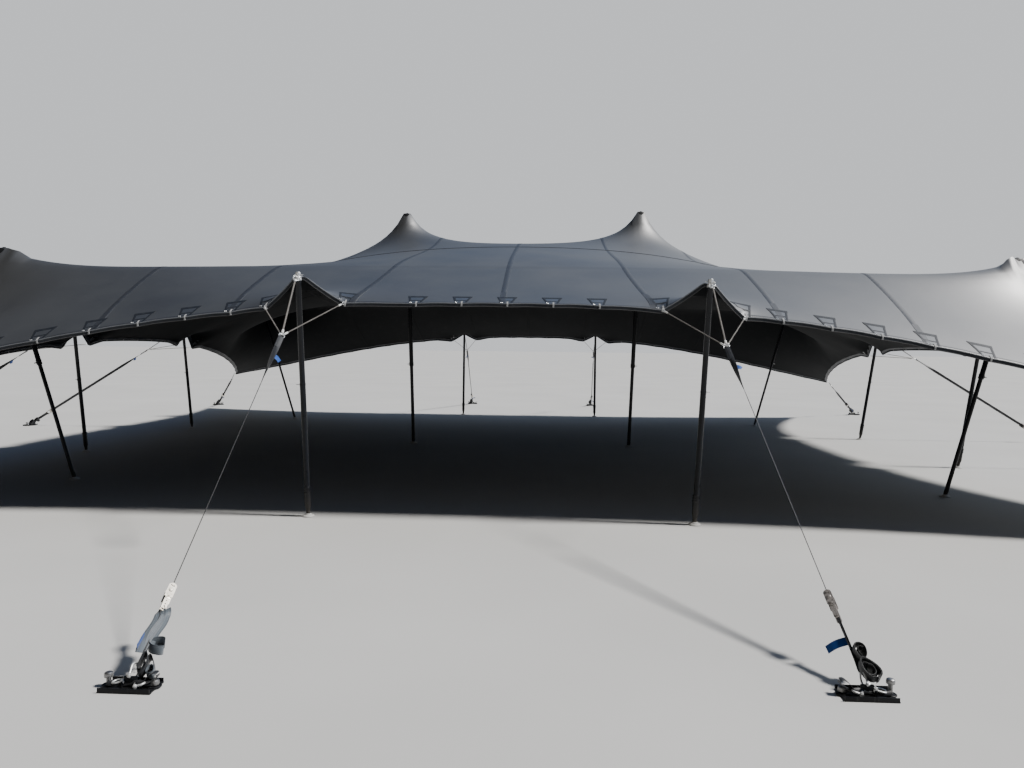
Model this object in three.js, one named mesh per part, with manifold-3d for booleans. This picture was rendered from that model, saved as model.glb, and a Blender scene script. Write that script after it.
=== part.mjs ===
// Stretch tent: one elastic canopy of sewn panels over two tall centre poles, four wing poles and
// eight edge poles, held down by webbing guys with ratchets and ground plates.
// Millimetres, +Z up, the front (entrance) faces -Y, origin on the ground at the middle of the plan.
import * as THREE from 'three';
import { mergeVertices } from 'three/addons/utils/BufferGeometryUtils.js';
import Module from 'manifold-3d';

const wasm = await Module();
wasm.setup();

// Canopy cloth
const PANEL_WIDTH = 1420; // front-to-back cloth width between seams
const PANELS_PER_SIDE = 5;
const HALF_WIDTH = PANEL_WIDTH * PANELS_PER_SIDE;
const HALF_DEPTH = 6350;
const CROSS_SEAM_Y = 1700; // cross seams in front of and behind the centre poles
const WING_SEAM_X = 3 * PANEL_WIDTH; // seam where the middle of the canopy meets its wings
const CLOTH = 1.5; // cloth and coating
const SEAM_GAP = 0.3;
const FIT = 0.3; // clearance between pieces that touch
const FULLNESS = 0.072; // upward billow of the cloth between the two wing ridges, per metre
const CROSS_PULL = 2; // the cloth is pulled this much harder from side to side than from front to back
const CORNER_REACH_RIGHT = 1000; // how far the pulled corners run past the straight cloth
const CORNER_REACH_LEFT = 1200;

// Hems: height and plan of the four edges
const FRONT_HEM_Z = 2245;
const FRONT_HEM_FALL_RIGHT = 1310;
const FRONT_HEM_FALL_LEFT = 1250;
const FRONT_HEM_POWER_RIGHT = 2.4; // this half of the hem starts to fall nearer to its pole
const FRONT_HEM_POWER_LEFT = 2.6;
const REAR_HEM_Z = 2110;
const REAR_HEM_FALL = 1110;
const SIDE_HEM_Z = 1880;
const SIDE_HEM_FALL = 880;
const HEM_Y = 6300;
const CORNER_Y_REACH = 800;
const SIDE_HEM_X_RIGHT = 7190;
const SIDE_HEM_X_LEFT = 7260;
const EDGE_PEAK_SPREAD = 360; // half width of the small peak that an edge pole lifts in the hem
const FRONT_PEAK_INNER_SPREAD = 470; // the front peaks reach further towards the doorway
const BRIDLE_DIP = 60; // the bridle ropes pull the hem down on either side of that peak
const FRONT_RIGHT_DIP = 10; // the two front bridles are slacker than the others
const FRONT_LEFT_DIP = -20; // and beside the left one the hem stands a little proud
const FRONT_PEAK_RISE_RIGHT = 350;
const FRONT_PEAK_RISE_LEFT = 365;
const REAR_PEAK_RISE = 130;
const SIDE_PEAK_RISE = 330;
const RIDGE_Z = 2790;
const RIDGE_SAG_RIGHT = 28; // fall of the ridge line from the middle to the wing seam
const RIDGE_SAG_LEFT = 8;
const RIDGE_WING_RISE = 250;
const RIDGE_TOP_Z = 2990;

// Poles
const CENTRE_PEAK_Z_RIGHT = 4305;
const CENTRE_PEAK_Z_LEFT = 4255;
const CENTRE_PEAK_X = 2140;
const CENTRE_FOOT_X = 2000;
const CENTRE_POLE_DIAMETER = 76;
const WING_PEAK_Y = 4440;
const WING_PEAK_X_RIGHT = 6230;
const WING_PEAK_X_LEFT = 6620;
const WING_PEAK_Z_RIGHT = 2970;
const WING_PEAK_Z_LEFT = 3020;
const WING_FOOT_X_RIGHT = 5470;
const WING_FOOT_X_LEFT = 5720;
const WING_POLE_DIAMETER = 60;
const FRONT_POLE_X = 2110;
const FRONT_FOOT_X = 2010;
const REAR_POLE_X = 1750;
const REAR_FOOT_X = 1755;
const SIDE_POLE_Y = 1900;
const SIDE_FOOT_X_RIGHT = 6950;
const SIDE_FOOT_X_LEFT = 7120;
const EDGE_POLE_DIAMETER = 60;
const SHOULDER_RADIUS = 38; // flange under the pulled ring on an edge pole's head
const SPIGOT_DIAMETER = 50; // head of an edge pole, which stands up through the pulled ring
const SPIGOT_LENGTH = 60;
const PEAK_FLAT = 120; // flat of cloth that lies on a pole's cap
const CAP_DIAMETER = 104;
const CAP_HEIGHT = 22;
const PAD_DIAMETER = 130;
const PAD_HEIGHT = 18;

// Guys and ground plates
const FRONT_ANCHOR_X_LEFT = 1665;
const FRONT_ANCHOR_X_RIGHT = 2162;
const FRONT_ANCHOR_Y_RIGHT = 10220; // this plate stands nearer to the hem than the other three at the ends
const END_ANCHOR_Y = 10400;
const REAR_ANCHOR_X = 1900;
const SIDE_ANCHOR_X = 10700;
const CORNER_ANCHOR_X = 9350;
const CORNER_ANCHOR_Y = 8350;
const ROPE_DIAMETER = 17;
const EYE_DIAMETER = 24; // thimble eye at a rope's end
const RING_DIAMETER = 82;
const RING_BAR = 12;
const WEBBING_WIDTH = 50; // the webbing runs on edge
const WEBBING_THICKNESS = 4;
const RATCHET_FROM_PLATE = 720;
const RATCHET_LENGTH = 190;
const RATCHET_WIDTH = 70; // along its spool, which stands square to the webbing
const RATCHET_HEIGHT = 46;
const SPOOL_DIAMETER = 40;
const SPOOL_LENGTH = 96;
const PLATE_WIDTH = 280;
const PLATE_DEPTH = 150;
const PLATE_THICKNESS = 10;
const LUG_WIDTH = 70;
const LUG_THICKNESS = 12;
const LUG_HEIGHT = 62;
const STAKE_HEAD_DIAMETER = 45;
const STAKE_HEAD_HEIGHT = 26;
const STAKE_SPACING = 210;

const colours = {
  cloth: new THREE.MeshStandardMaterial({ color: 0x343b46, roughness: 0.85 }),
  pole: new THREE.MeshStandardMaterial({ color: 0x1a1b1d, roughness: 0.4, metalness: 0.6 }),
  webbing: new THREE.MeshStandardMaterial({ color: 0x3b4048, roughness: 0.8 }),
  plate: new THREE.MeshStandardMaterial({ color: 0x222324, roughness: 0.5, metalness: 0.8 }),
};

const tent = new THREE.Group();
tent.name = 'stretch_tent';

function addPiece(name, geometry, material) {
  const mesh = new THREE.Mesh(geometry, material);
  mesh.name = name;
  tent.add(mesh);
}

// Solid helpers
function toSolid(geometry) {
  const bare = geometry.clone();
  bare.deleteAttribute('normal');
  bare.deleteAttribute('uv');
  const welded = mergeVertices(bare, 0.001);
  return new wasm.Manifold(new wasm.Mesh({
    numProp: 3,
    vertProperties: new Float32Array(welded.attributes.position.array),
    triVerts: new Uint32Array(welded.index.array),
  }));
}

function toGeometry(solid) {
  const mesh = solid.getMesh();
  const geometry = new THREE.BufferGeometry();
  geometry.setAttribute('position', new THREE.Float32BufferAttribute(mesh.vertProperties, 3));
  geometry.setIndex(new THREE.Uint32BufferAttribute(mesh.triVerts, 1));
  geometry.computeVertexNormals();
  return geometry;
}

function join(geometries) {
  let solid = toSolid(geometries[0]);
  for (const geometry of geometries.slice(1)) {
    solid = solid.add(toSolid(geometry));
  }
  return toGeometry(solid);
}

// Turns a geometry built along +Z from the origin so that it runs from start towards end.
function alongLine(geometry, start, end) {
  const direction = end.clone().sub(start).normalize();
  const across = new THREE.Vector3(-direction.y, direction.x, 0);
  if (across.length() < 0.01) {
    across.set(1, 0, 0);
  }
  across.normalize();
  const upward = new THREE.Vector3().crossVectors(direction, across);
  const placed = geometry.clone();
  placed.applyMatrix4(new THREE.Matrix4().makeBasis(across, upward, direction).setPosition(start));
  return placed;
}

function rod(start, end, diameter, sides) {
  const length = start.distanceTo(end);
  const shape = new THREE.CylinderGeometry(diameter / 2, diameter / 2, length, sides);
  shape.rotateX(Math.PI / 2);
  shape.translate(0, 0, length / 2);
  return alongLine(shape, start, end);
}

// A bar of rectangular section: width lies level, thickness stands across it.
function bar(start, end, width, thickness) {
  const length = start.distanceTo(end);
  const shape = new THREE.BoxGeometry(width, thickness, length);
  shape.translate(0, 0, length / 2);
  return alongLine(shape, start, end);
}

function ball(centre, diameter) {
  const shape = new THREE.SphereGeometry(diameter / 2, 6, 4);
  shape.translate(centre.x, centre.y, centre.z);
  return shape;
}

function turned(profile, sides) {
  const shape = new THREE.LatheGeometry(profile.map(([r, h]) => new THREE.Vector2(r, h)), sides);
  shape.rotateX(Math.PI / 2);
  return shape;
}

// Canopy form
// The cloth hangs as a membrane: its hems, peaks and two ridges are held, and every other point
// settles where the pull of its neighbours balances.
const columnHalf = [0, 473, 947, 1420, 1640, 1750, 2050, 2170, 2470, 2840, 3313, 3787, 4260, 4733, 5207,
  5680, 6140, 6260, 6550, 6830, 7100];
const rowHalf = [60, 350, 750, 1150, 1540, 1700, 1900, 2260, 2800, 3350, 3900, 4380, 4500, 4950, 5400, 5870,
  6350];
const columns = [...columnHalf.slice(1).reverse().map((u) => -u), ...columnHalf];
const rows = [...rowHalf.slice().reverse().map((v) => -v), ...rowHalf];
const RIDGE_ROW = 4500;
const lastColumn = columns.length - 1;
const lastRow = rows.length - 1;

function edgePeak(position, centre, rise, innerSpread, dip) {
  const spread = position < centre ? innerSpread : EDGE_PEAK_SPREAD;
  const share = Math.abs(position - centre) / spread;
  if (share < 1) {
    return rise - (rise + dip) * share;
  }
  return -dip * Math.max(0, 2 - share);
}

function hemPoint(i, j) {
  const u = columns[i];
  const v = rows[j];
  const across = Math.abs(u) / HALF_WIDTH;
  const along = Math.abs(v) / HALF_DEPTH;
  const side = Math.sign(u);
  const reach = side > 0 ? CORNER_REACH_RIGHT : CORNER_REACH_LEFT;
  if (j === 0 || j === lastRow) {
    const x = u + side * reach * across ** 6;
    const y = Math.sign(v) * (HEM_Y + CORNER_Y_REACH * across ** 4);
    if (j === 0) {
      const fall = side > 0 ? FRONT_HEM_FALL_RIGHT : FRONT_HEM_FALL_LEFT;
      const power = side > 0 ? FRONT_HEM_POWER_RIGHT : FRONT_HEM_POWER_LEFT;
      const dip = side > 0 ? FRONT_RIGHT_DIP : FRONT_LEFT_DIP;
      const rise = side > 0 ? FRONT_PEAK_RISE_RIGHT : FRONT_PEAK_RISE_LEFT;
      const peak = edgePeak(Math.abs(u), FRONT_POLE_X, rise, FRONT_PEAK_INNER_SPREAD, dip);
      return new THREE.Vector3(x, y, FRONT_HEM_Z - fall * across ** power + peak);
    }
    const peak = edgePeak(Math.abs(u), REAR_POLE_X, REAR_PEAK_RISE, EDGE_PEAK_SPREAD, BRIDLE_DIP);
    return new THREE.Vector3(x, y, REAR_HEM_Z - REAR_HEM_FALL * across ** 2.3 + peak);
  }
  const middle = side > 0 ? SIDE_HEM_X_RIGHT : SIDE_HEM_X_LEFT;
  const corner = HALF_WIDTH + reach;
  const x = side * (middle + (corner - middle) * along ** 4);
  const y = v * (1 + 0.118 * along ** 4);
  const peak = edgePeak(Math.abs(v), SIDE_POLE_Y, SIDE_PEAK_RISE, EDGE_PEAK_SPREAD, BRIDLE_DIP);
  return new THREE.Vector3(x, y, SIDE_HEM_Z - SIDE_HEM_FALL * along ** 2.2 + peak);
}

function ridgeHeight(u) {
  const m = Math.abs(u);
  const sag = u > 0 ? RIDGE_SAG_RIGHT : RIDGE_SAG_LEFT;
  const flat = RIDGE_Z - sag * Math.min(1, Math.max(0, (m - 2000) / 2400));
  return Math.min(flat + RIDGE_WING_RISE * (Math.max(0, m - 4400) / 1740) ** 3.2, RIDGE_TOP_Z);
}

const peaks = [];
for (const side of [-1, 1]) {
  const centreZ = side > 0 ? CENTRE_PEAK_Z_RIGHT : CENTRE_PEAK_Z_LEFT;
  peaks.push({ u: side * FRONT_POLE_X, v: 0, top: new THREE.Vector3(side * CENTRE_PEAK_X, 0, centreZ) });
  const x = side > 0 ? WING_PEAK_X_RIGHT : -WING_PEAK_X_LEFT;
  const z = side > 0 ? WING_PEAK_Z_RIGHT : WING_PEAK_Z_LEFT;
  for (const end of [-1, 1]) {
    peaks.push({ u: side * 6200, v: end * 4440, top: new THREE.Vector3(x, end * WING_PEAK_Y, z) });
  }
}

function formCloth() {
  const points = rows.map((v, j) => columns.map((u, i) => {
    const onHem = i === 0 || j === 0 || i === lastColumn || j === lastRow;
    const point = onHem ? hemPoint(i, j) : new THREE.Vector3(u, v, 2700);
    return { point, planHeld: onHem, heightHeld: onHem, billow: Math.abs(v) < RIDGE_ROW ? FULLNESS : 0 };
  }));
  rows.forEach((v, j) => columns.forEach((u, i) => {
    const node = points[j][i];
    if (Math.abs(v) === RIDGE_ROW && !node.heightHeld && Math.abs(u) < 6300) {
      node.point.z = ridgeHeight(u);
      node.heightHeld = true;
    }
    for (const peak of peaks) {
      if (Math.abs(u - peak.u) <= PEAK_FLAT / 2 && Math.abs(v - peak.v) <= PEAK_FLAT / 2) {
        node.point.set(peak.top.x + u - peak.u, peak.top.y + v - peak.v, peak.top.z);
        node.planHeld = true;
        node.heightHeld = true;
      }
    }
  }));
  for (let sweep = 0; sweep < 400; sweep += 1) {
    for (let j = 1; j < lastRow; j += 1) {
      for (let i = 1; i < lastColumn; i += 1) {
        settle(points, i, j);
      }
    }
  }
  return points.map((line) => line.map((node) => node.point));
}

function settle(points, i, j) {
  const node = points[j][i];
  if (node.planHeld && node.heightHeld) {
    return;
  }
  const cellWidth = (columns[i + 1] - columns[i - 1]) / 2;
  const cellDepth = (rows[j + 1] - rows[j - 1]) / 2;
  const pulls = [
    [points[j][i + 1].point, CROSS_PULL * cellDepth / (columns[i + 1] - columns[i])],
    [points[j][i - 1].point, CROSS_PULL * cellDepth / (columns[i] - columns[i - 1])],
    [points[j + 1][i].point, cellWidth / (rows[j + 1] - rows[j])],
    [points[j - 1][i].point, cellWidth / (rows[j] - rows[j - 1])],
  ];
  const target = new THREE.Vector3();
  let total = 0;
  for (const [point, pull] of pulls) {
    target.addScaledVector(point, pull);
    total += pull;
  }
  target.divideScalar(total);
  target.z += node.billow * cellWidth * cellDepth / 1000 / total;
  const over = 1.85;
  if (!node.planHeld) {
    node.point.x += over * (target.x - node.point.x);
    node.point.y += over * (target.y - node.point.y);
  }
  if (!node.heightHeld) {
    node.point.z += over * (target.z - node.point.z);
  }
}

const cloth = formCloth();

// Canopy panels
// Each panel is a thin closed shell over a block of the cloth's grid, set in by half a seam gap
// along the seams that it shares with its neighbours.
function clothPoint(i, j, iFirst, iLast, jFirst, jLast) {
  const point = cloth[j][i].clone();
  const inset = (next) => {
    const step = next.clone().sub(cloth[j][i]);
    point.addScaledVector(step.normalize(), SEAM_GAP / 2);
  };
  if (i === iFirst && i > 0) {
    inset(cloth[j][i + 1]);
  }
  if (i === iLast && i < lastColumn) {
    inset(cloth[j][i - 1]);
  }
  if (j === jFirst && j > 0) {
    inset(cloth[j + 1][i]);
  }
  if (j === jLast && j < lastRow) {
    inset(cloth[j - 1][i]);
  }
  return point;
}

function clothPanel(iFirst, iLast, jFirst, jLast) {
  const wide = iLast - iFirst + 1;
  const deep = jLast - jFirst + 1;
  const count = wide * deep;
  const positions = [];
  for (const offset of [CLOTH / 2, -CLOTH / 2]) {
    for (let j = jFirst; j <= jLast; j += 1) {
      for (let i = iFirst; i <= iLast; i += 1) {
        const point = clothPoint(i, j, iFirst, iLast, jFirst, jLast);
        positions.push(point.x, point.y, point.z + offset);
      }
    }
  }
  const faces = [];
  const quad = (a, b, c, d) => faces.push(a, b, c, a, c, d);
  for (let j = 0; j < deep - 1; j += 1) {
    for (let i = 0; i < wide - 1; i += 1) {
      const a = j * wide + i;
      quad(a, a + 1, a + wide + 1, a + wide);
      quad(a + count, a + wide + count, a + wide + 1 + count, a + 1 + count);
    }
  }
  const rim = [];
  for (let i = 0; i < wide - 1; i += 1) {
    rim.push(i);
  }
  for (let j = 0; j < deep - 1; j += 1) {
    rim.push(j * wide + wide - 1);
  }
  for (let i = wide - 1; i > 0; i -= 1) {
    rim.push((deep - 1) * wide + i);
  }
  for (let j = deep - 1; j > 0; j -= 1) {
    rim.push(j * wide);
  }
  rim.forEach((a, k) => {
    const b = rim[(k + 1) % rim.length];
    quad(a, a + count, b + count, b);
  });
  const geometry = new THREE.BufferGeometry();
  geometry.setAttribute('position', new THREE.Float32BufferAttribute(positions, 3));
  geometry.setIndex(faces);
  geometry.computeVertexNormals();
  return geometry;
}

const columnAt = (u) => columns.indexOf(u);
const rowAt = (v) => rows.indexOf(v);
const columnSpans = {
  left: [0, columnAt(-WING_SEAM_X)],
  middle: [columnAt(-WING_SEAM_X), columnAt(WING_SEAM_X)],
  right: [columnAt(WING_SEAM_X), lastColumn],
};
const rowSpans = {
  front: [0, rowAt(-CROSS_SEAM_Y)],
  centre: [rowAt(-CROSS_SEAM_Y), rowAt(CROSS_SEAM_Y)],
  rear: [rowAt(CROSS_SEAM_Y), lastRow],
};
for (const [depthName, [jFirst, jLast]] of Object.entries(rowSpans)) {
  for (const [widthName, [iFirst, iLast]] of Object.entries(columnSpans)) {
    addPiece(`canopy_${depthName}_${widthName}`, clothPanel(iFirst, iLast, jFirst, jLast), colours.cloth);
  }
}

// Poles
function footPad(foot) {
  const pad = new THREE.CylinderGeometry(PAD_DIAMETER / 2 - 6, PAD_DIAMETER / 2, PAD_HEIGHT, 12);
  pad.rotateX(Math.PI / 2);
  pad.translate(foot.x, foot.y, PAD_HEIGHT / 2);
  return pad;
}

// Telescopic pole that holds a peak from inside: inner tube below, outer tube above, round cap.
function peakPole(name, footX, footY, top, diameter, sleeveShare) {
  const foot = new THREE.Vector3(footX, footY, PAD_HEIGHT / 2);
  const capTop = top.z - CLOTH / 2 - FIT;
  const head = new THREE.Vector3(top.x, top.y, capTop - CAP_HEIGHT / 2);
  const length = foot.distanceTo(head);
  const r = diameter / 2;
  const sleeve = length * sleeveShare;
  const shaft = turned([[0, 0], [r * 0.6, 0], [r * 0.82, 40], [r * 0.82, sleeve], [r * 1.12, sleeve],
    [r * 1.12, sleeve + 60], [r, sleeve + 60], [r, length], [0, length]], 12);
  const cap = new THREE.CylinderGeometry(CAP_DIAMETER / 2, CAP_DIAMETER / 2, CAP_HEIGHT, 12);
  cap.rotateX(Math.PI / 2);
  cap.translate(top.x, top.y, capTop - CAP_HEIGHT / 2);
  addPiece(name, join([footPad(foot), alongLine(shaft, foot, head), cap]), colours.pole);
}

// Pole at the hem: tapered foot, grip collar, tube and a head with an upright spigot.
function edgePole(name, foot, head) {
  const base = foot.clone().setZ(PAD_HEIGHT / 2);
  const length = base.distanceTo(head);
  const r = EDGE_POLE_DIAMETER / 2;
  const profile = [[0, 0], [r * 0.62, 0], [r * 0.75, 60], [r * 1.12, 110], [r * 1.12, 225], [r * 1.28, 232],
    [r * 1.28, 306], [r, 312], [r, length - 60], [SHOULDER_RADIUS, length - 45], [SHOULDER_RADIUS, length], [0, length]];
  const spigot = new THREE.CylinderGeometry(SPIGOT_DIAMETER / 2, SPIGOT_DIAMETER / 2, SPIGOT_LENGTH + 20, 12);
  spigot.rotateX(Math.PI / 2);
  spigot.translate(head.x, head.y, head.z + SPIGOT_LENGTH / 2 - 10);
  addPiece(name, join([footPad(foot), alongLine(turned(profile, 10), base, head), spigot]), colours.pole);
}

const sides = { left: -1, right: 1 };
const wings = {
  left: { footX: -WING_FOOT_X_LEFT, topX: -WING_PEAK_X_LEFT, topZ: WING_PEAK_Z_LEFT },
  right: { footX: WING_FOOT_X_RIGHT, topX: WING_PEAK_X_RIGHT, topZ: WING_PEAK_Z_RIGHT },
};
for (const [sideName, side] of Object.entries(sides)) {
  const centreZ = side > 0 ? CENTRE_PEAK_Z_RIGHT : CENTRE_PEAK_Z_LEFT;
  const centreTop = new THREE.Vector3(side * CENTRE_PEAK_X, 0, centreZ);
  peakPole(`centre_pole_${sideName}`, side * CENTRE_FOOT_X, 0, centreTop, CENTRE_POLE_DIAMETER, 0.34);
  for (const [endName, end] of [['front', -1], ['rear', 1]]) {
    const wing = wings[sideName];
    const wingTop = new THREE.Vector3(wing.topX, end * WING_PEAK_Y, wing.topZ);
    peakPole(`${endName}_wing_pole_${sideName}`, wing.footX, end * WING_PEAK_Y, wingTop, WING_POLE_DIAMETER, 0.5);
  }
}

// Guys and ground plates
const RING_RADIUS = (RING_DIAMETER - RING_BAR) / 2;

function ringSolid(centre, outward) {
  const ring = new THREE.TorusGeometry(RING_RADIUS, RING_BAR / 2, 4, 12);
  ring.rotateZ(Math.atan2(outward.y, outward.x));
  ring.translate(centre.x, centre.y, centre.z);
  return ring;
}

// The ring on a pole's head lies level, its rim against the cloth's pulled corner at clothTip.
function headRingCentre(clothTip, outward) {
  return clothTip.clone().addScaledVector(outward, RING_DIAMETER / 2 + FIT);
}

// Bolted-down plate: stakes through its tent-side corners and a lug in the middle for the guy.
function groundPlate(name, x, y, turn) {
  const base = new THREE.BoxGeometry(PLATE_WIDTH, PLATE_DEPTH, PLATE_THICKNESS);
  base.translate(0, 0, PLATE_THICKNESS / 2);
  const lug = new THREE.BoxGeometry(LUG_WIDTH, LUG_THICKNESS, LUG_HEIGHT);
  lug.translate(0, 0, LUG_HEIGHT / 2);
  const pieces = [base, lug];
  for (const side of [-1, 1]) {
    const shank = new THREE.CylinderGeometry(12, 12, 70, 8);
    shank.rotateX(Math.PI / 2);
    shank.translate(side * STAKE_SPACING / 2, 30, 35);
    const head = new THREE.CylinderGeometry(STAKE_HEAD_DIAMETER / 2, STAKE_HEAD_DIAMETER / 2, STAKE_HEAD_HEIGHT, 12);
    head.rotateX(Math.PI / 2);
    head.translate(side * STAKE_SPACING / 2, 30, 70);
    pieces.push(shank, head);
  }
  for (const piece of pieces) {
    piece.rotateZ(turn);
    piece.translate(x, y, 0);
  }
  addPiece(name, join(pieces), colours.plate);
}

// One guy: head ring, bridle ropes from the hem, gathering ring, webbing, ratchet and shackle.
function guy(name, headRing, hemPoints, outward, plateX, plateY, gatherDistance) {
  const lugFace = new THREE.Vector3(plateX, plateY, LUG_HEIGHT - 16);
  const shackleEnd = lugFace.clone().addScaledVector(outward, -(LUG_THICKNESS / 2 + FIT + EYE_DIAMETER / 2));
  const pull = shackleEnd.clone().sub(headRing).normalize();
  const pointAt = (distance) => headRing.clone().addScaledVector(pull, distance);
  const total = headRing.distanceTo(shackleEnd);
  const gather = pointAt(gatherDistance);
  const ratchetStart = pointAt(total - RATCHET_FROM_PLATE);
  const ratchetEnd = pointAt(total - RATCHET_FROM_PLATE + RATCHET_LENGTH);
  const spoolAt = pointAt(total - RATCHET_FROM_PLATE + 45);
  const level = new THREE.Vector3(-pull.y, pull.x, 0).normalize();
  const standing = new THREE.Vector3().crossVectors(pull, level);
  const ringEdge = headRing.clone().addScaledVector(outward, RING_RADIUS + 5);
  ringEdge.z += 5;
  const pieces = [
    ringSolid(headRing, outward),
    rod(ringEdge, gather, ROPE_DIAMETER, 6),
    ball(gather, 44),
    bar(gather, spoolAt, WEBBING_THICKNESS, WEBBING_WIDTH),
    bar(ratchetStart, ratchetEnd, RATCHET_HEIGHT, RATCHET_WIDTH),
    rod(spoolAt.clone().addScaledVector(standing, -SPOOL_LENGTH / 2),
      spoolAt.clone().addScaledVector(standing, SPOOL_LENGTH / 2), SPOOL_DIAMETER, 8),
    bar(spoolAt, pointAt(total - 60), WEBBING_THICKNESS, WEBBING_WIDTH),
    rod(pointAt(total - 75), shackleEnd, 18, 6),
    ball(shackleEnd, EYE_DIAMETER),
  ];
  for (const hem of hemPoints) {
    const eye = hem.clone().addScaledVector(outward, EYE_DIAMETER / 2 + FIT + 0.2);
    pieces.push(ball(eye, EYE_DIAMETER), rod(eye, gather, ROPE_DIAMETER, 6));
  }
  addPiece(name, join(pieces), colours.webbing);
}

function tieDown(prefix, suffix, tip, hemNodes, outward, footX, footY, plateX, plateY, turn, gatherDistance) {
  const headRing = headRingCentre(tip, outward);
  const lean = Math.hypot(headRing.x - footX, headRing.y - footY) / headRing.z;
  const shoulderRise = SHOULDER_RADIUS * lean;
  const head = headRing.clone().setZ(headRing.z - RING_BAR / 2 - FIT - shoulderRise);
  edgePole(`${prefix}_pole_${suffix}`, new THREE.Vector3(footX, footY, 0), head);
  guy(`${prefix}_guy_${suffix}`, headRing, hemNodes, outward, plateX, plateY, gatherDistance);
  groundPlate(`${prefix}_anchor_${suffix}`, plateX, plateY, turn);
}

for (const [sideName, side] of Object.entries(sides)) {
  const toSide = new THREE.Vector3(side, 0, 0);
  const column = (u) => columnAt(side * u);
  const frontX = side > 0 ? FRONT_ANCHOR_X_RIGHT : -FRONT_ANCHOR_X_LEFT;
  const frontY = side > 0 ? -FRONT_ANCHOR_Y_RIGHT : -END_ANCHOR_Y;
  const frontTip = cloth[0][column(2050)].clone().lerp(cloth[0][column(2170)], 0.5);
  tieDown('front', sideName, frontTip, [cloth[0][column(1640)], cloth[0][column(2470)]],
    new THREE.Vector3(0, -1, 0), side * FRONT_FOOT_X, -HEM_Y - 20, frontX, frontY, 0, 1080);
  tieDown('rear', sideName, cloth[lastRow][column(1750)], [cloth[lastRow][column(1420)], cloth[lastRow][column(2050)]],
    new THREE.Vector3(0, 1, 0), side * REAR_FOOT_X, HEM_Y + 20, side * REAR_ANCHOR_X, END_ANCHOR_Y, Math.PI, 1000);
  const edge = side > 0 ? lastColumn : 0;
  const sideFootX = side > 0 ? SIDE_FOOT_X_RIGHT : -SIDE_FOOT_X_LEFT;
  for (const [endName, end] of [['front', -1], ['rear', 1]]) {
    const row = (v) => rowAt(end * v);
    tieDown(`${endName}_side`, sideName, cloth[row(1900)][edge], [cloth[row(1540)][edge], cloth[row(2260)][edge]],
      toSide, sideFootX, end * SIDE_POLE_Y, side * SIDE_ANCHOR_X, end * SIDE_POLE_Y, side * Math.PI / 2, 900);
    const corner = cloth[end < 0 ? 0 : lastRow][edge];
    const outward = new THREE.Vector3(side, end, 0).normalize();
    const plateX = side * CORNER_ANCHOR_X;
    const plateY = end * CORNER_ANCHOR_Y;
    guy(`${endName}_corner_guy_${sideName}`, headRingCentre(corner, outward), [], outward, plateX, plateY, 300);
    groundPlate(`${endName}_corner_anchor_${sideName}`, plateX, plateY, Math.atan2(side, -end));
  }
}

export default tent;
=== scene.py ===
# Stretch tent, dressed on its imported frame. Metres, +Z up, the doorway between the front poles faces -Y.
import math

import bmesh
import bpy
import numpy as np
from mathutils import Matrix, Vector


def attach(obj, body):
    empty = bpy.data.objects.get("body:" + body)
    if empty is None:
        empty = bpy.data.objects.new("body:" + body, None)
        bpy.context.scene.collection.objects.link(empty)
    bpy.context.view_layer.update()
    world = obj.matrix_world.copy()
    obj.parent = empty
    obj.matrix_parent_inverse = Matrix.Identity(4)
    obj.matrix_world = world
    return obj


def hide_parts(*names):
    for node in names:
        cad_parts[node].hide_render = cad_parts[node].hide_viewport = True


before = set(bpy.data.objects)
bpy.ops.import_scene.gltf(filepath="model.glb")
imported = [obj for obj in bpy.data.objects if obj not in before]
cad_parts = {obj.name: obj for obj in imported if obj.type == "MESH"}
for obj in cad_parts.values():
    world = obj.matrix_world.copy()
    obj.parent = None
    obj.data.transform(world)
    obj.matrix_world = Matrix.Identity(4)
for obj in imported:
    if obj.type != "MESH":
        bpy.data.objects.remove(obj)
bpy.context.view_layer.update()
UP = Vector((0, 0, 1))


# Viewpoint
# Standing eye height in front of the doorway, a step right of the middle, looking slightly down
# and slightly left. The lens is that of a 1024 x 768 frame on a 36 mm wide sensor.
VIEW_POINT = (0.473, -14.23, 1.785)
VIEW_YAW = math.radians(2.585)
VIEW_PITCH = math.radians(2.625)
VIEW_ROLL = math.radians(0.698)
SENSOR_WIDTH, LENS_LENGTH = 36, 27.04
SIGHT = 900

forward = Vector((-math.sin(VIEW_YAW) * math.cos(VIEW_PITCH), math.cos(VIEW_YAW) * math.cos(VIEW_PITCH),
                  -math.sin(VIEW_PITCH)))
level_right = Vector((math.cos(VIEW_YAW), math.sin(VIEW_YAW), 0))
level_up = level_right.cross(forward)
view_right = level_right * math.cos(VIEW_ROLL) + level_up * math.sin(VIEW_ROLL)
view_up = level_up * math.cos(VIEW_ROLL) - level_right * math.sin(VIEW_ROLL)
camera = bpy.data.objects.new("camera", bpy.data.cameras.new("camera"))
camera.data.sensor_width = SENSOR_WIDTH
camera.data.lens = LENS_LENGTH
camera.data.clip_end = SIGHT
camera.matrix_world = (Matrix.Translation(VIEW_POINT)
                       @ Matrix((view_right, view_up, -forward)).transposed().to_4x4())
bpy.context.scene.collection.objects.link(camera)
bpy.context.scene.camera = camera


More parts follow.
